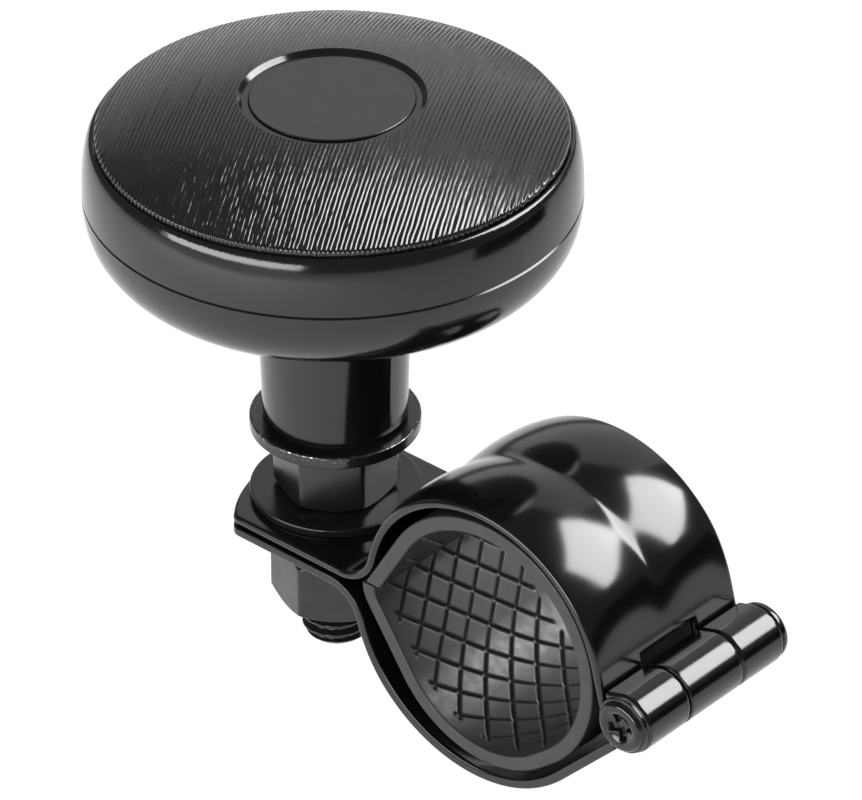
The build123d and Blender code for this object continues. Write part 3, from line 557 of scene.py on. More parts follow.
def ball_steel():
    """Chromium steel, lapped: a near mirror."""
    return finish("bearing_steel_lapped", {"Metallic": 1.0}, bump=[(EVEN, 0, 1.0, 0.0005, 1)],
                  colour=("#c6c8ca", "#d0d2d4", 1.5), rough=(EVEN, 0, 1.0, 0.03, 0.07, 2))


def zinc_steel():
    """Spring steel, zinc plated: bluish grey with a fine crystal mottle."""
    return finish("spring_steel_zinc_plated", {"Metallic": 1.0}, bump=[(EVEN, 0, 0.3, 0.003, 3)],
                  colour=("#8f9399", "#a3a7ad", 0.8), rough=(EVEN, 0, 1.2, 0.25, 0.4, 3))


def hex_radius(flats, turns):
    """Radius of a hexagon with rounded corners.

    r = 1 / (sum of max(0, cos(a - a_i) / apothem) ^ p) ^ (1 / p), over its six sides a_i,
    where a large p gives sharp corners.
    """
    a = np.arange(turns) * 2 * np.pi / turns - math.radians(HEX_TURN)
    sides = np.radians(30 + 60 * np.arange(6))
    facing = np.clip(np.cos(a[:, None] - sides), 0, None) / (flats / 2)
    return (facing ** HEX_SHARPNESS).sum(1) ** (-1 / HEX_SHARPNESS)


def smaller(a, b, sharpness=14):
    """Soft minimum: a - log(1 + exp(k (a - b))) / k."""
    return a - np.log1p(np.exp(np.clip(sharpness * (a - b), -60, 60))) / sharpness


def hex_bar(flats, bottom, top, both_ends, turns):
    """Radii and heights of a hexagonal bar: the smaller of the hexagon and a chamfer's cone."""
    z = np.concatenate([bottom + HEX_ROWS, np.linspace(bottom + HEX_PLAIN, top - HEX_PLAIN, 8),
                        top - HEX_ROWS[::-1]])
    r = np.broadcast_to(hex_radius(flats, turns), (len(z), turns))
    slope = math.tan(math.radians(CHAMFER_DEG))
    land = flats / 2 * CHAMFER_LAND
    r = smaller(r, land + (z - bottom)[:, None] / slope)
    if both_ends:
        r = smaller(r, land + (top - z)[:, None] / slope)
    return r, z


def thread(bottom, top, turns):
    """Radii and heights of a right-hand thread.

    The phase is z / pitch - a / (2 pi). The radius rises smoothly from the root, at half a
    phase, to the crest over THREAD_FLANK. The thread fades out over its top turn, and a cone of
    45 degrees takes off its lower end.
    """
    pitch, depth = sizes().thread_pitch / MM, sizes().thread_depth / MM
    z = np.linspace(bottom, top, math.ceil((top - bottom) / pitch * THREAD_ROWS) + 1)
    phase = (z[:, None] / pitch - np.arange(turns) / turns) % 1
    flank = ease((np.abs(phase - 0.5) * 2 - THREAD_FLANK[0]) / THREAD_FLANK[1])
    r = STUD_R - depth * (1 - flank)
    fade = np.clip((top - z) / pitch, 0, 1)[:, None]
    cone = STUD_R - STUD_CHAMFER + (z - bottom)[:, None]
    return smaller(STUD_R + (r - STUD_R) * fade, cone, 16), z


def stack(*blocks, turns):
    """Joins blocks of (radii, heights) round Z into one surface."""
    radii = [np.broadcast_to(np.reshape(r, (len(r), -1)), (len(r), turns)) for r, z in blocks]
    heights = np.concatenate([z for r, z in blocks])
    return around(np.vstack(radii), heights, turns)


def rib_shape(y):
    """Share of the rib height at y: two round ribs with a soft valley between them."""
    edge = math.hypot(HALF_WIDTH, RIB_VALLEY)
    u = np.abs(np.sqrt(y * y + RIB_VALLEY ** 2) - edge / 2) / (edge / 2)
    return np.clip(1 - np.clip(u, 0, 1) ** RIB_POWER, 0, 1)


def ease(t):
    """Smooth step from 0 to 1."""
    t = np.clip(t, 0, 1)
    return t * t * (3 - 2 * t)


def bent(x, z, radius, first, last, side, step=0.4):
    """Stations (x, z, normal x, normal z, 0) along sheet bent round (x, z), step mm apart."""
    count = max(3, math.ceil(abs(math.radians(last - first)) * radius / step))
    a = np.radians(np.linspace(first, last, count + 1))
    way = np.stack([np.cos(a), np.sin(a)], 1)
    return np.hstack([np.array([x, z]) + radius * way, side * way, np.zeros((count + 1, 1))])


def straight(start, end, normal, step=0.9):
    """Stations along flat sheet from one (x, z) point to another."""
    count = max(1, math.ceil(math.dist(start, end) / step))
    line = np.linspace(start, end, count + 1)
    return np.hstack([line, np.tile(normal, (count + 1, 1)), np.zeros((count + 1, 1))])


def joined(*runs):
    """Stations of several runs in a row, each starting where the one before it ends."""
    return np.vstack([runs[0], *[run[1:] for run in runs[1:]]])


def cross_steps(cut):
    """Places across the strap, with one on each edge and on each side of the cut."""
    side = np.linspace(cut + EDGE_ROOM, HALF_WIDTH - EDGE_ROOM, 18)
    side = np.concatenate([[cut], side, [HALF_WIDTH]])
    return np.concatenate([-side[::-1], np.linspace(EDGE_ROOM - cut, cut - EDGE_ROOM, 23), side])


def polar_row(x, y, radius, first, last, count):
    """Points of an arc round (x, y), without its first one."""
    a = np.radians(np.linspace(first, last, count))[1:]
    return np.stack([x + radius * np.cos(a), y + radius * np.sin(a)], 1)


def ear_ring(bend_x, level, travel, ys):
    """Flat ear as rings between the stud's hole and its outline.

    The outline starts along x = bend_x at the strap's own places, runs down one side, round the
    end's corners and arc, and back. A point of the ring is hole + t (outline - hole). The hole
    is a slot as long as the stud travels in it.
    """
    end_x = STUD_X - EAR_REACH + EAR_END_R
    corner_y = HALF_WIDTH - EAR_CORNER
    corner_x = end_x - math.sqrt((EAR_END_R - EAR_CORNER) ** 2 - corner_y ** 2)
    turn = math.degrees(math.atan2(corner_y, corner_x - end_x))
    side_x = np.linspace(bend_x, corner_x, 30)[1:]
    near = np.stack([side_x, np.full(len(side_x), HALF_WIDTH)], 1)
    half = np.vstack([near, polar_row(corner_x, corner_y, EAR_CORNER, 90, turn, 8),
                      polar_row(end_x, 0, EAR_END_R, turn, 180, 40)])
    seam = np.stack([np.full(len(ys), bend_x), ys], 1)
    outline = np.vstack([seam, half, half[-2::-1] * [1, -1]])[:-1]
    middle = np.array([STUD_X - travel / 2, 0])
    way = outline - middle
    way /= np.linalg.norm(way, axis=1)[:, None]
    c, s = np.abs(way[:, 0]), np.abs(way[:, 1])
    flat = HOLE_R / np.maximum(s, 1e-9)
    rounded_end = travel / 2 * c + np.sqrt(np.clip(HOLE_R ** 2 - (travel / 2 * s) ** 2, 0, None))
    reach = np.where(flat * c <= travel / 2, flat, rounded_end)
    hole = middle + way * reach[:, None]
    length = np.linalg.norm(outline - hole, axis=1)
    room = 1.2 * EDGE_ROOM
    inner = np.linspace(0, 1, 11)[:, None] * (length - 2 * room) + room
    t = np.vstack([0 * length, inner, length])[..., None] / length[:, None]
    rings = hole + t * (outline - hole)
    return np.concatenate([rings, np.full((*rings.shape[:2], 1), level)], -1)


def strap(name, whole, roll, cut, tongue, ear):
    """Middle surface of a clamp half, given its thickness by Solidify and its edges by Bevel.

    Point (s, y) = middle(s) + normal(s) height(s) rib(y). The sheet has its full width along the
    whole runs. Along the roll only the tongue between the cuts is left, or what is outside them.
    ear is (where the bend starts, level, travel of the stud in its hole).
    """
    stations = joined(whole, *roll)
    ys = cross_steps(cut)
    inside = np.abs(ys[1:] + ys[:-1]) / 2 < cut
    keep = (np.arange(len(stations) - 1)[:, None] < len(whole) - 1) | (inside == tongue)
    x, z, nx, nz, height = stations.T[..., None]
    lift = height * rib_shape(ys)
    sheet = np.stack([x + nx * lift, np.broadcast_to(ys, lift.shape), z + nz * lift], -1)
    faces = grid_faces(*sheet.shape[:2], False, False)[keep.reshape(-1)]
    rings = ear_ring(*ear, ys)
    ear_faces = grid_faces(*rings.shape[:2], False, True, first=lift.size)
    points = np.vstack([sheet.reshape(-1, 3), rings.reshape(-1, 3)])
    piece = mesh_object(name, points, np.vstack([faces, ear_faces]), closed=False)
    body = bmesh.new()
    body.from_mesh(piece.data)
    bmesh.ops.delete(body, geom=[v for v in body.verts if not v.link_faces], context="VERTS")
    body.to_mesh(piece.data)
    body.free()
    wall = piece.modifiers.new("sheet thickness", "SOLIDIFY")
    wall.thickness, wall.offset, wall.use_even_offset = SHEET * MM, 0, True
    edge = piece.modifiers.new("sheared edges", "BEVEL")
    edge.width, edge.segments = sizes().sheet_edge, EDGE_SEGMENTS
    edge.limit_method, edge.angle_limit = "ANGLE", math.radians(EDGE_DEG)
    return piece


def bend_centre(hoop, ear_middle, side):
    """Centre of the bend between an ear and its hoop; side is 1 above, -1 below."""
    z = ear_middle + side * EAR_FILLET
    return hoop[0] - math.sqrt((hoop[2] + EAR_FILLET) ** 2 - (z - hoop[1]) ** 2), z


def tail(side):
    """Flat end of the rolled sheet, tangent to the top of the barrel."""
    start = polar(HINGE_X, HINGE_Z, ROLL_R, ROLL_END)
    end = polar(*start, ROLL_TAIL, ROLL_END + 90)
    return straight(start, end, polar(0, 0, side, ROLL_END))


def ribbed(hoop, first, last):
    """A hoop's stations, with the ribs' height fading smoothly towards both ends."""
    run = bent(*hoop, first, last, 1)
    angles = np.linspace(first, last, len(run))
    near, far = (ease(np.abs(angles - end) / RIB_FADE) for end in (first, last))
    run[:, 4] = RIB_HEIGHT * near * far
    return run


def upper_strap():
    """Upper half: ear, hoop, and two outer knuckles that a notch leaves at its foot."""
    hoop = UPPER_HOOP
    bend = bend_centre(hoop, EAR_TOP - SHEET / 2, 1)
    first = math.degrees(math.atan2(bend[1] - hoop[1], bend[0] - hoop[0]))
    span = math.hypot(HINGE_X - hoop[0], HINGE_Z - hoop[1])
    tilt = math.degrees(math.atan2(HINGE_Z - hoop[1], HINGE_X - hoop[0]))
    last = tilt + math.degrees(math.acos((hoop[2] + ROLL_R) / span))
    top = polar(*hoop, last)
    foot = polar(HINGE_X, HINGE_Z, ROLL_R, last + 180)
    cut = math.sqrt((math.hypot(BARREL_R, ROLL_TAIL) + NOTCH_CLEAR) ** 2 - ROLL_R ** 2)
    share = 1 - cut / math.dist(top, foot)
    notch = (top[0] + (foot[0] - top[0]) * share, top[1] + (foot[1] - top[1]) * share)
    outwards = polar(0, 0, 1, last)
    whole = joined(bent(*bend, EAR_FILLET, 270, first + 180, -1), ribbed(hoop, first, last),
                   straight(top, notch, outwards))
    knuckles = bent(HINGE_X, HINGE_Z, ROLL_R, last + 180, ROLL_END + 360, -1, ROLL_STEP)
    return strap("upper_strap", whole, [straight(notch, foot, outwards), knuckles, tail(-1)],
                 NOTCH, False, (bend[0], EAR_TOP - SHEET / 2, 0))


def lower_strap():
    """Lower half: ear with a slot, hoop, and a tongue that is necked and rolled to one knuckle."""
    hoop = LOWER_HOOP
    bend = bend_centre(hoop, LOWER_EAR_BOTTOM + SHEET / 2, -1)
    first = math.degrees(math.atan2(bend[1] - hoop[1], bend[0] - hoop[0])) + 360
    last = 270 + WALL_DEG
    nx, nz = polar(0, 0, 1, last)
    top = polar(*hoop, last)
    level = nx * top[0] + nz * top[1]
    neck_level = level + NECK_R
    drop = neck_level - (nx * HINGE_X + nz * HINGE_Z)
    along = -nz * HINGE_X + nx * HINGE_Z - math.sqrt((NECK_R + ROLL_R) ** 2 - drop ** 2)
    run = along - (-nz * top[0] + nx * top[1])
    foot = (top[0] - run * nz, top[1] + run * nx)
    neck = (nx * neck_level - nz * along, nz * neck_level + nx * along)
    neck_end = math.degrees(math.atan2(HINGE_Z - neck[1], HINGE_X - neck[0]))
    whole = joined(bent(*bend, EAR_FILLET, 90, first - 180, -1), ribbed(hoop, first, last),
                   straight(top, foot, (nx, nz)))
    knuckle = bent(HINGE_X, HINGE_Z, ROLL_R, neck_end + 180, ROLL_END + 360, 1, ROLL_STEP)
    return strap("lower_strap", whole,
                 [bent(*neck, NECK_R, last - 180, neck_end, -1, ROLL_STEP), knuckle, tail(1)],
                 TONGUE, True, (bend[0], LOWER_EAR_BOTTOM + SHEET / 2, SLOT_TRAVEL))


def liner_path():
    """Bore side of the strip as dense rows (x, z, normal x, normal z, length, slant).

    Length is 0 where the bore's first arc meets +X and grows anticlockwise; slant is how far the
    outer side lags along the strip, so that the upper end is cut level.
    """
    lean = 180 - LINER_LEAN
    arcs = [(0.0, 0.0, BORE_R, lean, SAG_DEG)]
    for radius, run, last in ((SAG_R, SAG_RUN, RISE_DEG), (TIP_BEND_R, RISE_RUN, -180)):
        x, z, before, _, turn = arcs[-1]
        nx, nz = polar(0, 0, 1, turn)
        arcs.append((x + (before - radius) * nx + run * nz, z + (before - radius) * nz - run * nx,
                     radius, turn, last))
    nx, nz = polar(0, 0, 1, lean)
    here = ((BORE_R - LINER_END_Z * nz) / nx, LINER_END_Z)
    runs = []
    for x, z, radius, first, last in arcs:
        runs += [straight(here, polar(x, z, radius, first), polar(0, 0, 1, first), LINER_STEP),
                 bent(x, z, radius, first, last, 1, LINER_STEP)]
        here = polar(x, z, radius, last)
    stations = joined(*runs)
    steps = np.linalg.norm(np.diff(stations[:, :2], axis=0), axis=1)
    walked = np.concatenate([[0], np.cumsum(steps)])
    upper = math.dist(stations[0, :2], polar(0, 0, BORE_R, lean))
    length = BORE_R * math.radians(lean) + upper - walked
    slant = -LINER_T * nz / -nx * np.clip(1 - walked / upper, 0, 1)
    return np.column_stack([stations[:, :4], length, slant])


def grooves(s, y):
    """Depth of the crossed grooves, from 0 to 1, at s along the strip and y across it.

    Two sets of lines lie at 45 degrees, y + s and s - y. Each is a smooth dip of the groove's
    width, and they stop short of the strip's edges and ends.
    """
    pitch, width = sizes().rib_spacing / MM, sizes().groove_width / MM
    depth = np.zeros(s.shape)
    for line, phase in ((y + s, GROOVE_PHASES[0]), (s - y, GROOVE_PHASES[1])):
        off = np.abs((line - phase + pitch / 2) % pitch - pitch / 2) / math.sqrt(2)
        depth = np.maximum(depth, ease(1.3 - off / (width / 2)))
    low, high = GROOVE_REACH
    inside = ease((LINER_HALF - GROOVE_MARGIN - np.abs(y)) / 0.3)
    return depth * inside * ease((s - low) / 0.5) * ease((high - s) / 0.5)


def rim_strip():
    """The strip's section, a rounded rectangle in (y, depth), carried along its bent path."""
    path = liner_path()
    cell = sizes().rib_spacing / MM / CELLS_PER_GROOVE
    s = np.arange(path[-1, 4], path[0, 4], cell)
    s = np.concatenate([s, [path[0, 4]]])[::-1]
    row = [np.interp(-s, -path[:, 4], path[:, i]) for i in (0, 1, 2, 3, 5)]
    x, z, nx, nz, slant = [column[:, None] for column in row]
    corner, wide, thick = LINER_CORNER, LINER_HALF - LINER_CORNER, LINER_T - LINER_CORNER
    bore_y = np.arange(-LINER_HALF + corner, LINER_HALF - corner, cell)
    far_y = np.linspace(wide, -wide, 15)
    bend = np.linspace(0, np.pi / 2, 5)[1:-1]
    out, back = corner * np.sin(bend), corner * np.cos(bend)
    section_y = np.concatenate([
        bore_y, [wide], wide + out, [LINER_HALF, LINER_HALF], wide + back,
        far_y, -wide - out, [-LINER_HALF, -LINER_HALF], -wide - back])
    section_d = np.concatenate([
        0 * bore_y, [0], corner - back, [corner, thick], thick + out,
        0 * far_y + LINER_T, thick + back, [thick, corner], corner - out])
    y = np.broadcast_to(section_y, (len(s), len(section_y)))
    depth = np.broadcast_to(section_d, y.shape).copy()
    bore = len(bore_y)
    cut = grooves(np.broadcast_to(s[:, None], (len(s), bore)), y[:, :bore])
    depth[:, :bore] += cut * sizes().groove_depth / MM
    # Painted shade: the grooves' share of the bore, which the rubber material paints nearly black.
    painted_groove_shade = np.zeros((len(s) + 2, len(section_y)))
    painted_groove_shade[1:-1, :bore] = cut
    lag = slant * depth / LINER_T
    points = np.stack([x + nx * depth + nz * lag, y, z + nz * depth - nx * lag], -1)
    return grid_object("rim_strip", capped(points), sharp=60, marks=("groove", painted_groove_shade))


def dome(r):
    """Height of the cover's spherical face at a radius: apex - R + sqrt(R^2 - r^2)."""
    apex = INSERT_EDGE + INSERT_CROWN
    sphere = (INSERT_R ** 2 + INSERT_CROWN ** 2) / (2 * INSERT_CROWN)
    return apex - sphere + np.sqrt(sphere ** 2 - np.square(r))


def on_dome(r, radius=0):
    """Corner of a profile where the cover's face has this radius from the post."""
    return r, float(dome(r)), radius


def knob_cover():
    """Surface of revolution: bare recess floor, bevel, spherical dome, rounded edge and skirt."""
    recess = float(dome(RECESS_R))
    ledge = recess - RECESS_BEVEL
    pocket = MEDALLION_R + MEDALLION_GAP
    floor = recess - MEDALLION_INSET - MEDALLION_T
    inner = [(0, floor, 0), (pocket, floor, 0.05), (pocket, ledge, 0.05),
             (RECESS_R - RECESS_BEVEL, ledge, 0.15), on_dome(RECESS_R, 0.12), on_dome(RECESS_R + 1)]
    r = np.linspace(RECESS_R + 1.3, INSERT_R - 1.6, 50)
    skirt, web = INSERT_R - SKIRT_T, floor - COVER_WALL
    outer = [on_dome(INSERT_R - 1.3), (INSERT_R, INSERT_EDGE, COVER_EDGE_R),
             (INSERT_R, DECK_TOP, 0.1), (skirt, DECK_TOP, 0.1),
             (skirt, float(dome(skirt)) - COVER_WALL, 0.3), (RECESS_R, web, 0.3), (0, web, 0)]
    profile = np.vstack([rounded(inner), np.column_stack([r, dome(r)]), rounded(outer)])
    return grid_object("knob_cover", at_post(lathe(profile, 256)))


def medallion():
    """Disc of revolution with rounded edges."""
    top = float(dome(RECESS_R)) - MEDALLION_INSET
    bottom = top - MEDALLION_T
    profile = rounded([(0, bottom, 0), (MEDALLION_R, bottom, 0.1), (MEDALLION_R, top, 0.2),
                       (0, top, 0)])
    return grid_object("plain_medallion", at_post(lathe(spread(profile, 1.0), 224)))


def turned_spindle():
    """Stud thread, hexagon, flange and shaft as one surface r(a, z) round the post."""
    turns = 192
    end = rounded([(0, STUD_END_Z, 0), (2.0, STUD_END_Z, 0), (3.7, STUD_END_Z, 0)])
    threaded = thread(STUD_END_Z, THREAD_TOP_Z, turns)
    shank = np.array([(STUD_R, THREAD_TOP_Z + 0.1), (STUD_R, HEX_BOTTOM)])
    hexagon = hex_bar(HEX_FLATS, HEX_BOTTOM, FLANGE_BOTTOM, False, turns)
    shaft = rounded([
        (STUD_R, FLANGE_BOTTOM - 0.01, 0), (FLANGE_R, FLANGE_BOTTOM, 0.22),
        (FLANGE_R, FLANGE_TOP, 0.28), (SPINDLE_R, FLANGE_TOP, 0.2), (SPINDLE_R, BEARING_BOTTOM, 0),
        (JOURNAL_R, BEARING_BOTTOM, 0), (JOURNAL_R, CLIP_BOTTOM, 0),
        (CLIP_GROOVE_R, CLIP_BOTTOM, 0), (CLIP_GROOVE_R, CLIP_TOP, 0), (JOURNAL_R, CLIP_TOP, 0),
        (JOURNAL_R, SPINDLE_TOP, 0.4), (0, SPINDLE_TOP, 0)])[1:]
    points = stack(end.T, threaded, shank.T, hexagon, shaft.T, turns=turns)
    radius, z = np.hypot(points[..., 0], points[..., 1]), points[..., 2]
    worn = ease((radius - FLANGE_R + 0.5) / 0.3) * ease((z - FLANGE_TOP + 0.5) / 0.3)
    return grid_object("turned_spindle", at_post(points), marks=("wear", worn))


def washer_section(bore, radius, bottom, top, edge):
    """Closed profile of a ring with rounded edges, from the middle of its bore."""
    middle = (bore, (bottom + top) / 2, 0)
    corners = [middle, (bore, bottom, edge), (radius, bottom, edge), (radius, top, edge),
               (bore, top, edge), middle]
    return rounded(corners, 4)[:-1]


def washer(name, radius, bottom, top):
    """Ring with rounded edges: its profile turned round the post."""
    profile = washer_section(STUD_R + WASHER_GAP, radius, bottom, top, WASHER_EDGE)
    return grid_object(name, at_post(lathe(profile, 160)), wrap_rows=True)


def spring_washer():
    """Ring profile swept round the post, cut on the slant: angle = start + span u - lean z / r."""
    r, h = washer_section(STUD_R + WASHER_GAP, SPRING_WASHER_R, 0, SPRING_WASHER_T,
                          SPRING_WASHER_EDGE).T
    u = np.linspace(0, 1, 161)[:, None]
    half = SPLIT_HALF / r
    lean = math.tan(math.radians(SPLIT_LEAN)) * (h - SPRING_WASHER_T / 2) / r
    a = math.radians(SPLIT_DEG) + half + (2 * np.pi - 2 * half) * u - lean
    points = np.stack([r * np.cos(a), r * np.sin(a), NUT_TOP + h + 0 * a], -1)
    return grid_object("split_washer", at_post(capped(points)))


def hex_nut():
    """Hexagon cut by two cones, with a countersunk bore: r(a, z) round the post."""
    turns = 192
    top, bottom = NUT_TOP, NUT_TOP - NUT_HEIGHT
    bore, sink, face = STUD_R + NUT_GAP, NUT_COUNTERSINK, NUT_FLATS / 2 * 0.95
    outside = hex_bar(NUT_FLATS, bottom, top, True, turns)
    inside = rounded([(face, top, 0), (bore + sink, top, 0.1), (bore, top - sink, 0.1),
                      (bore, bottom + sink, 0.1), (bore + sink, bottom, 0.1), (face, bottom, 0)], 3)
    points = stack(outside, inside.T, turns=turns)
    return grid_object("black_nut", at_post(points), wrap_rows=True)


def cross_recess(x, y):
    """Depth of the screw's cross recess: two crossed slots with soft ends and walls."""
    slots = [ease((CROSS_R - np.abs(a)) / 0.5 + 0.5) * ease((CROSS_HALF - np.abs(b)) / 0.3 + 0.5)
             for a, b in ((x, y), (y, x))]
    return CROSS_DEPTH * np.maximum(*slots)


def hinge_screw():
    """Stepped head and core turned round the hinge, the face sunk by a round dish and the cross."""
    tip, shelf, face = (HALF_WIDTH + t for t in (-SCREW_LENGTH, SCREW_RIM_T, SCREW_HEAD_T))
    core = [(0, tip, 0), (SCREW_CORE_R, tip, 0.2), (SCREW_CORE_R, HALF_WIDTH, 0),
            (SCREW_RIM_R, HALF_WIDTH, 0.1), (SCREW_RIM_R, shelf, 0.2), (SCREW_HEAD_R, shelf, 0.1),
            (SCREW_HEAD_R, face, 0.7), (SCREW_FACE_R, face, 0)]
    disc = np.linspace(SCREW_FACE_R - 0.05, 0, 52)
    profile = np.vstack([rounded(core), np.column_stack([disc, np.full(len(disc), face)])])
    x, y, z = np.moveaxis(lathe(profile, 288), -1, 0)
    c, s = polar(0, 0, 1, SCREW_TURN)
    dish = DISH_DEPTH * ease((DISH_R - np.hypot(x, y)) / DISH_SLOPE)
    sunk = np.where(z > face - 0.01, dish + cross_recess(x * c + y * s, y * c - x * s), 0)
    return grid_object("cross_recess_screw", on_hinge(np.stack([x, y, z - sunk], -1)))


def hinge_sleeve():
    """Hollow pin with a domed head, turned round the hinge."""
    front, back = HALF_WIDTH - 0.1, -HALF_WIDTH - SLEEVE_HEAD_T
    bore, deep = SCREW_CORE_R + SLEEVE_GAP, HALF_WIDTH - SCREW_LENGTH - 1
    profile = rounded([(0, back, 0), (SLEEVE_HEAD_R, back, 0.9), (SLEEVE_HEAD_R, -HALF_WIDTH, 0.1),
                       (SLEEVE_R, -HALF_WIDTH, 0), (SLEEVE_R, front, 0.2), (bore, front, 0.2),
                       (bore, deep, 0), (0, deep, 0)])
    return grid_object("hollow_pin", on_hinge(lathe(profile, 128)))


class BuildKnob(bpy.types.Operator):
    """Knob: its two shells, the grained cover and the bare medallion"""

    bl_idname = "spinner.build_knob"
    bl_label = "Knob"

    def execute(self, context):
        dress(abs_gloss, "upper_shell", "lower_shell")
        cover = fit(knob_cover(), "knob", "top_insert", abs_grained)
        cover.data.materials.append(material(abs_gloss))
        centres = np.empty(len(cover.data.polygons) * 3)
        cover.data.polygons.foreach_get("center", centres)
        x, y, _ = centres.reshape(-1, 3).T / MM
        smooth = np.hypot(x - STUD_X, y) < RECESS_R + SMOOTH_MARGIN
        cover.data.polygons.foreach_set("material_index", smooth.astype(np.int32))
        fit(medallion(), "knob", "centre_medallion", abs_satin)
        return {"FINISHED"}


class BuildPost(bpy.types.Operator):
    """Post: the spindle with its hexagon, flange and thread, and the washer under it"""

    bl_idname = "spinner.build_post"
    bl_label = "Post"

    def execute(self, context):
        fit(turned_spindle(), "clamp_and_spindle", "spindle", black_oxide_turned)
        collar = washer("collar_ring", COLLAR_R, EAR_TOP, HEX_BOTTOM)
        fit(collar, "clamp_and_spindle", "collar_washer", black_oxide_turned)
        return {"FINISHED"}


class BuildNut(bpy.types.Operator):
    """Nut stack: flat washer, split washer and nut"""

    bl_idname = "spinner.build_nut"
    bl_label = "Nut and washers"

    def execute(self, context):
        top = LOWER_EAR_BOTTOM
        flat = washer("flat_ring", FLAT_WASHER_R, top - FLAT_WASHER_T, top)
        for piece, node in ((flat, "flat_washer"), (spring_washer(), "spring_washer"),
                            (hex_nut(), "hex_nut")):
            fit(piece, "nut_stack", node, black_oxide_forged)
        return {"FINISHED"}


class BuildClamp(bpy.types.Operator):
    """Clamp: the two pressed straps with their ribs, ears and rolled knuckles"""

    bl_idname = "spinner.build_clamp"
    bl_label = "Clamp straps"

    def execute(self, context):
        fit(upper_strap(), "clamp_and_spindle", "upper_clamp_half", enamel)
        fit(lower_strap(), "lower_jaw", "lower_clamp_half", enamel)
        return {"FINISHED"}


class BuildHinge(bpy.types.Operator):
    """Hinge: the hollow pin and the screw in its end"""

    bl_idname = "spinner.build_hinge"
    bl_label = "Hinge pin"

    def execute(self, context):
        for piece, node in ((hinge_sleeve(), "hinge_sleeve"), (hinge_screw(), "hinge_screw")):
            fit(piece, "clamp_and_spindle", node, enamel)
        return {"FINISHED"}


class BuildLiner(bpy.types.Operator):
    """Liner: the rubber strip with its crossed grooves"""

    bl_idname = "spinner.build_liner"
    bl_label = "Rubber liner"

    def execute(self, context):
        fit(rim_strip(), "clamp_and_spindle", "rim_liner", rubber)
        return {"FINISHED"}


class DressInside(bpy.types.Operator):
    """Inside: the bearing, bush, rings and screws, which keep their CAD shapes"""

    bl_idname = "spinner.dress_inside"
    bl_label = "Bearing and fasteners"

    def execute(self, context):
        dress(bearing_steel, "bearing_outer_race", "bearing_inner_race", "bearing_shields")
        dress(zinc_steel, "bearing_cage", "thrust_washer", "retaining_ring", "shell_screws")
        dress(ball_steel, "bearing_balls")
        dress(acetal, "neck_bush")
        return {"FINISHED"}


# Camera: the photograph was matched with a level camera at these angles, this far from the foot
# of the hexagon and moved aside by this much, both in mm
CAMERA_AZIMUTH = 41.67
CAMERA_RISE = 33.02
CAMERA_LENS = 250.58
CAMERA_SENSOR = 36
CAMERA_AWAY = 819.8
CAMERA_SHIFT = (12.97, 11.23)

# Soft lights: name, azimuth and height they stand at, distance in m, size in m, power in W and
# whether they light the floor too, or are only seen in the gloss
LIGHTS = (
    ("soft box behind right", 147, 41, 0.8, (0.54, 0.46), 12.5, False),
    ("strip light front left", -4, 12, 0.8, (0.95, 0.24), 7.5, True),
    ("wide panel behind left", 214, 30, 0.8, (0.8, 0.7), 1.3, False),
)
# The clamp is held by a wheel's rim, so it hangs over the floor: by more than its nut comes down
FLOOR_DROP = 0.085
FLOOR_HALF = 2.5
# Black card that stands out of the picture behind the clamp: azimuth, distance, width and top in m
CARD = (38.0, 0.23, 0.2, 0.04)
WORLD_LIGHT = 0.17
# Light from everywhere above, never seen in the gloss: height, strength and angle
BOUNCE = (72, 3.1, 80)
LIGHTS_AIM = (-0.015, 0, 0.02)


class BuildStage(bpy.types.Operator):
    """Studio: pale floor, soft lights and the camera of the photograph"""

    bl_idname = "spinner.build_stage"
    bl_label = "Studio"

    def execute(self, context):
        scene = context.scene
        # A plain tone curve lets white paper be white while black gloss stays black.
        scene.view_settings.view_transform = "Standard"
        scene.world = bpy.data.worlds.new("studio")
        scene.world.use_nodes = True
        world = scene.world.node_tree.nodes["Background"].inputs
        world["Color"].default_value, world["Strength"].default_value = (1, 1, 1, 1), WORLD_LIGHT
        level = min(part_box(node)[0].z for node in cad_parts)
        studio_floor(level - FLOOR_DROP)
        black_card(level)
        for name, azimuth, rise, away, size, power, on_floor in LIGHTS:
            lamp = bpy.data.lights.new(name, "AREA")
            lamp.shape, lamp.size, lamp.size_y, lamp.energy = "RECTANGLE", *size, power
            light = linked(name, lamp)
            light.visible_diffuse = on_floor
            light.matrix_world = view_matrix(azimuth, rise, away, (0, 0), LIGHTS_AIM)
        sky = bpy.data.lights.new("ceiling bounce", "SUN")
        rise, sky.energy, angle = BOUNCE
        sky.angle = math.radians(angle)
        bounce = linked("ceiling bounce", sky)
        bounce.visible_glossy = False
        bounce.matrix_world = view_matrix(CAMERA_AZIMUTH, rise, 1.0, (0, 0), (0, 0, 0))
        data = bpy.data.cameras.new("camera")
        data.lens, data.sensor_width, data.clip_start = CAMERA_LENS, CAMERA_SENSOR, 0.01
        scene.camera = linked("camera", data)
        scene.camera.matrix_world = view_matrix(
            CAMERA_AZIMUTH, CAMERA_RISE, CAMERA_AWAY * MM, [v * MM for v in CAMERA_SHIFT],
            (STUD_X * MM, 0, HEX_BOTTOM * MM))
        return {"FINISHED"}


def stage_sheet(name, corners, coat):
    """Flat four-sided sheet of the studio, in metres."""
    mesh = bpy.data.meshes.new(name)
    mesh.from_pydata(corners, [], [(0, 1, 2, 3)])
    mesh.materials.append(coat)
    return linked(name, mesh)


def studio_floor(low):
    """White paper, laid flat below the part."""
    h = FLOOR_HALF
    paper = finish("floor_paper_matt", {"Roughness": 0.9, "Specular IOR Level": 0.1},
                   colour=(colours().floor, "#f6f6f6", 60.0))
    return stage_sheet("floor", [(-h, -h, low), (h, -h, low), (h, h, low), (-h, h, low)], paper)


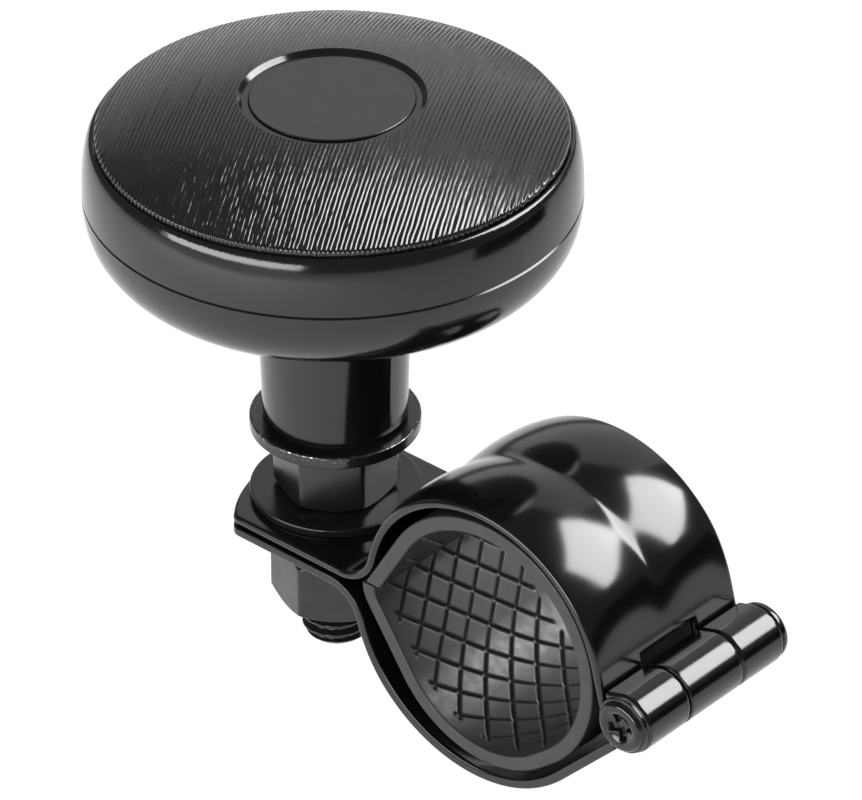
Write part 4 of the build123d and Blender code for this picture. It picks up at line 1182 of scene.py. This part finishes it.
def black_card(level):
    """Upright card that only reflections see, so that the clamp's lower side stays black."""
    azimuth, away, width, top = CARD
    out = np.array(polar(0, 0, 1, azimuth))
    across = np.array([-out[1], out[0]]) * width / 2
    near, far = out * away - across, out * away + across
    black = finish("card_black_matt", {"Specular IOR Level": 0.0},
                   colour=("#050505", "#070707", 40.0))
    corners = [(*near, level), (*far, level), (*far, top), (*near, top)]
    card = stage_sheet("black_card", corners, black)
    card.visible_camera = card.visible_diffuse = card.visible_shadow = False
    return card


def view_matrix(azimuth, rise, away, aside, centre):
    """Placement that looks at centre from two angles, moved aside in its own plane.

    It stands in the direction (sin azimuth, -cos azimuth), raised by rise.
    """
    a, e = math.radians(azimuth), math.radians(rise)
    right = np.array([math.cos(a), math.sin(a), 0])
    back = np.array([math.sin(a) * math.cos(e), -math.cos(a) * math.cos(e), math.sin(e)])
    up = np.cross(back, right)
    place = np.array(centre) + aside[0] * right + aside[1] * up + away * back
    return Matrix([[*row] for row in np.column_stack([right, up, back, place])] + [[0, 0, 0, 1]])


OPERATORS = (BuildKnob, BuildPost, BuildNut, BuildClamp, BuildHinge, BuildLiner, DressInside,
             BuildStage)


class SpinnerPanel(bpy.types.Panel):
    """Lists the build steps, the sizes and the colours"""

    bl_idname = "VIEW3D_PT_spinner_knob"
    bl_label = "Spinner knob"
    bl_space_type = "VIEW_3D"
    bl_region_type = "UI"
    bl_category = "Spinner knob"

    def draw(self, context):
        for operator in OPERATORS:
            self.layout.operator(operator.bl_idname)
        for group in (context.scene.knob_sizes, context.scene.knob_colours):
            for name in group.bl_rna.properties.keys():
                if name not in ("rna_type", "name"):
                    self.layout.prop(group, name)


CLASSES = (KnobSizes, KnobColours, *OPERATORS, SpinnerPanel)


def register():
    for item in CLASSES:
        bpy.utils.register_class(item)
    bpy.types.Scene.knob_sizes = bpy.props.PointerProperty(type=KnobSizes)
    bpy.types.Scene.knob_colours = bpy.props.PointerProperty(type=KnobColours)


def unregister():
    del bpy.types.Scene.knob_sizes
    del bpy.types.Scene.knob_colours
    for item in reversed(CLASSES):
        bpy.utils.unregister_class(item)


def main():
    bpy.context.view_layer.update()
    register()
    bpy.ops.spinner.build_knob()
    bpy.ops.spinner.build_post()
    bpy.ops.spinner.build_nut()
    bpy.ops.spinner.build_clamp()
    bpy.ops.spinner.build_hinge()
    bpy.ops.spinner.build_liner()
    bpy.ops.spinner.dress_inside()
    bpy.ops.spinner.build_stage()


if __name__ == "__main__":
    main()
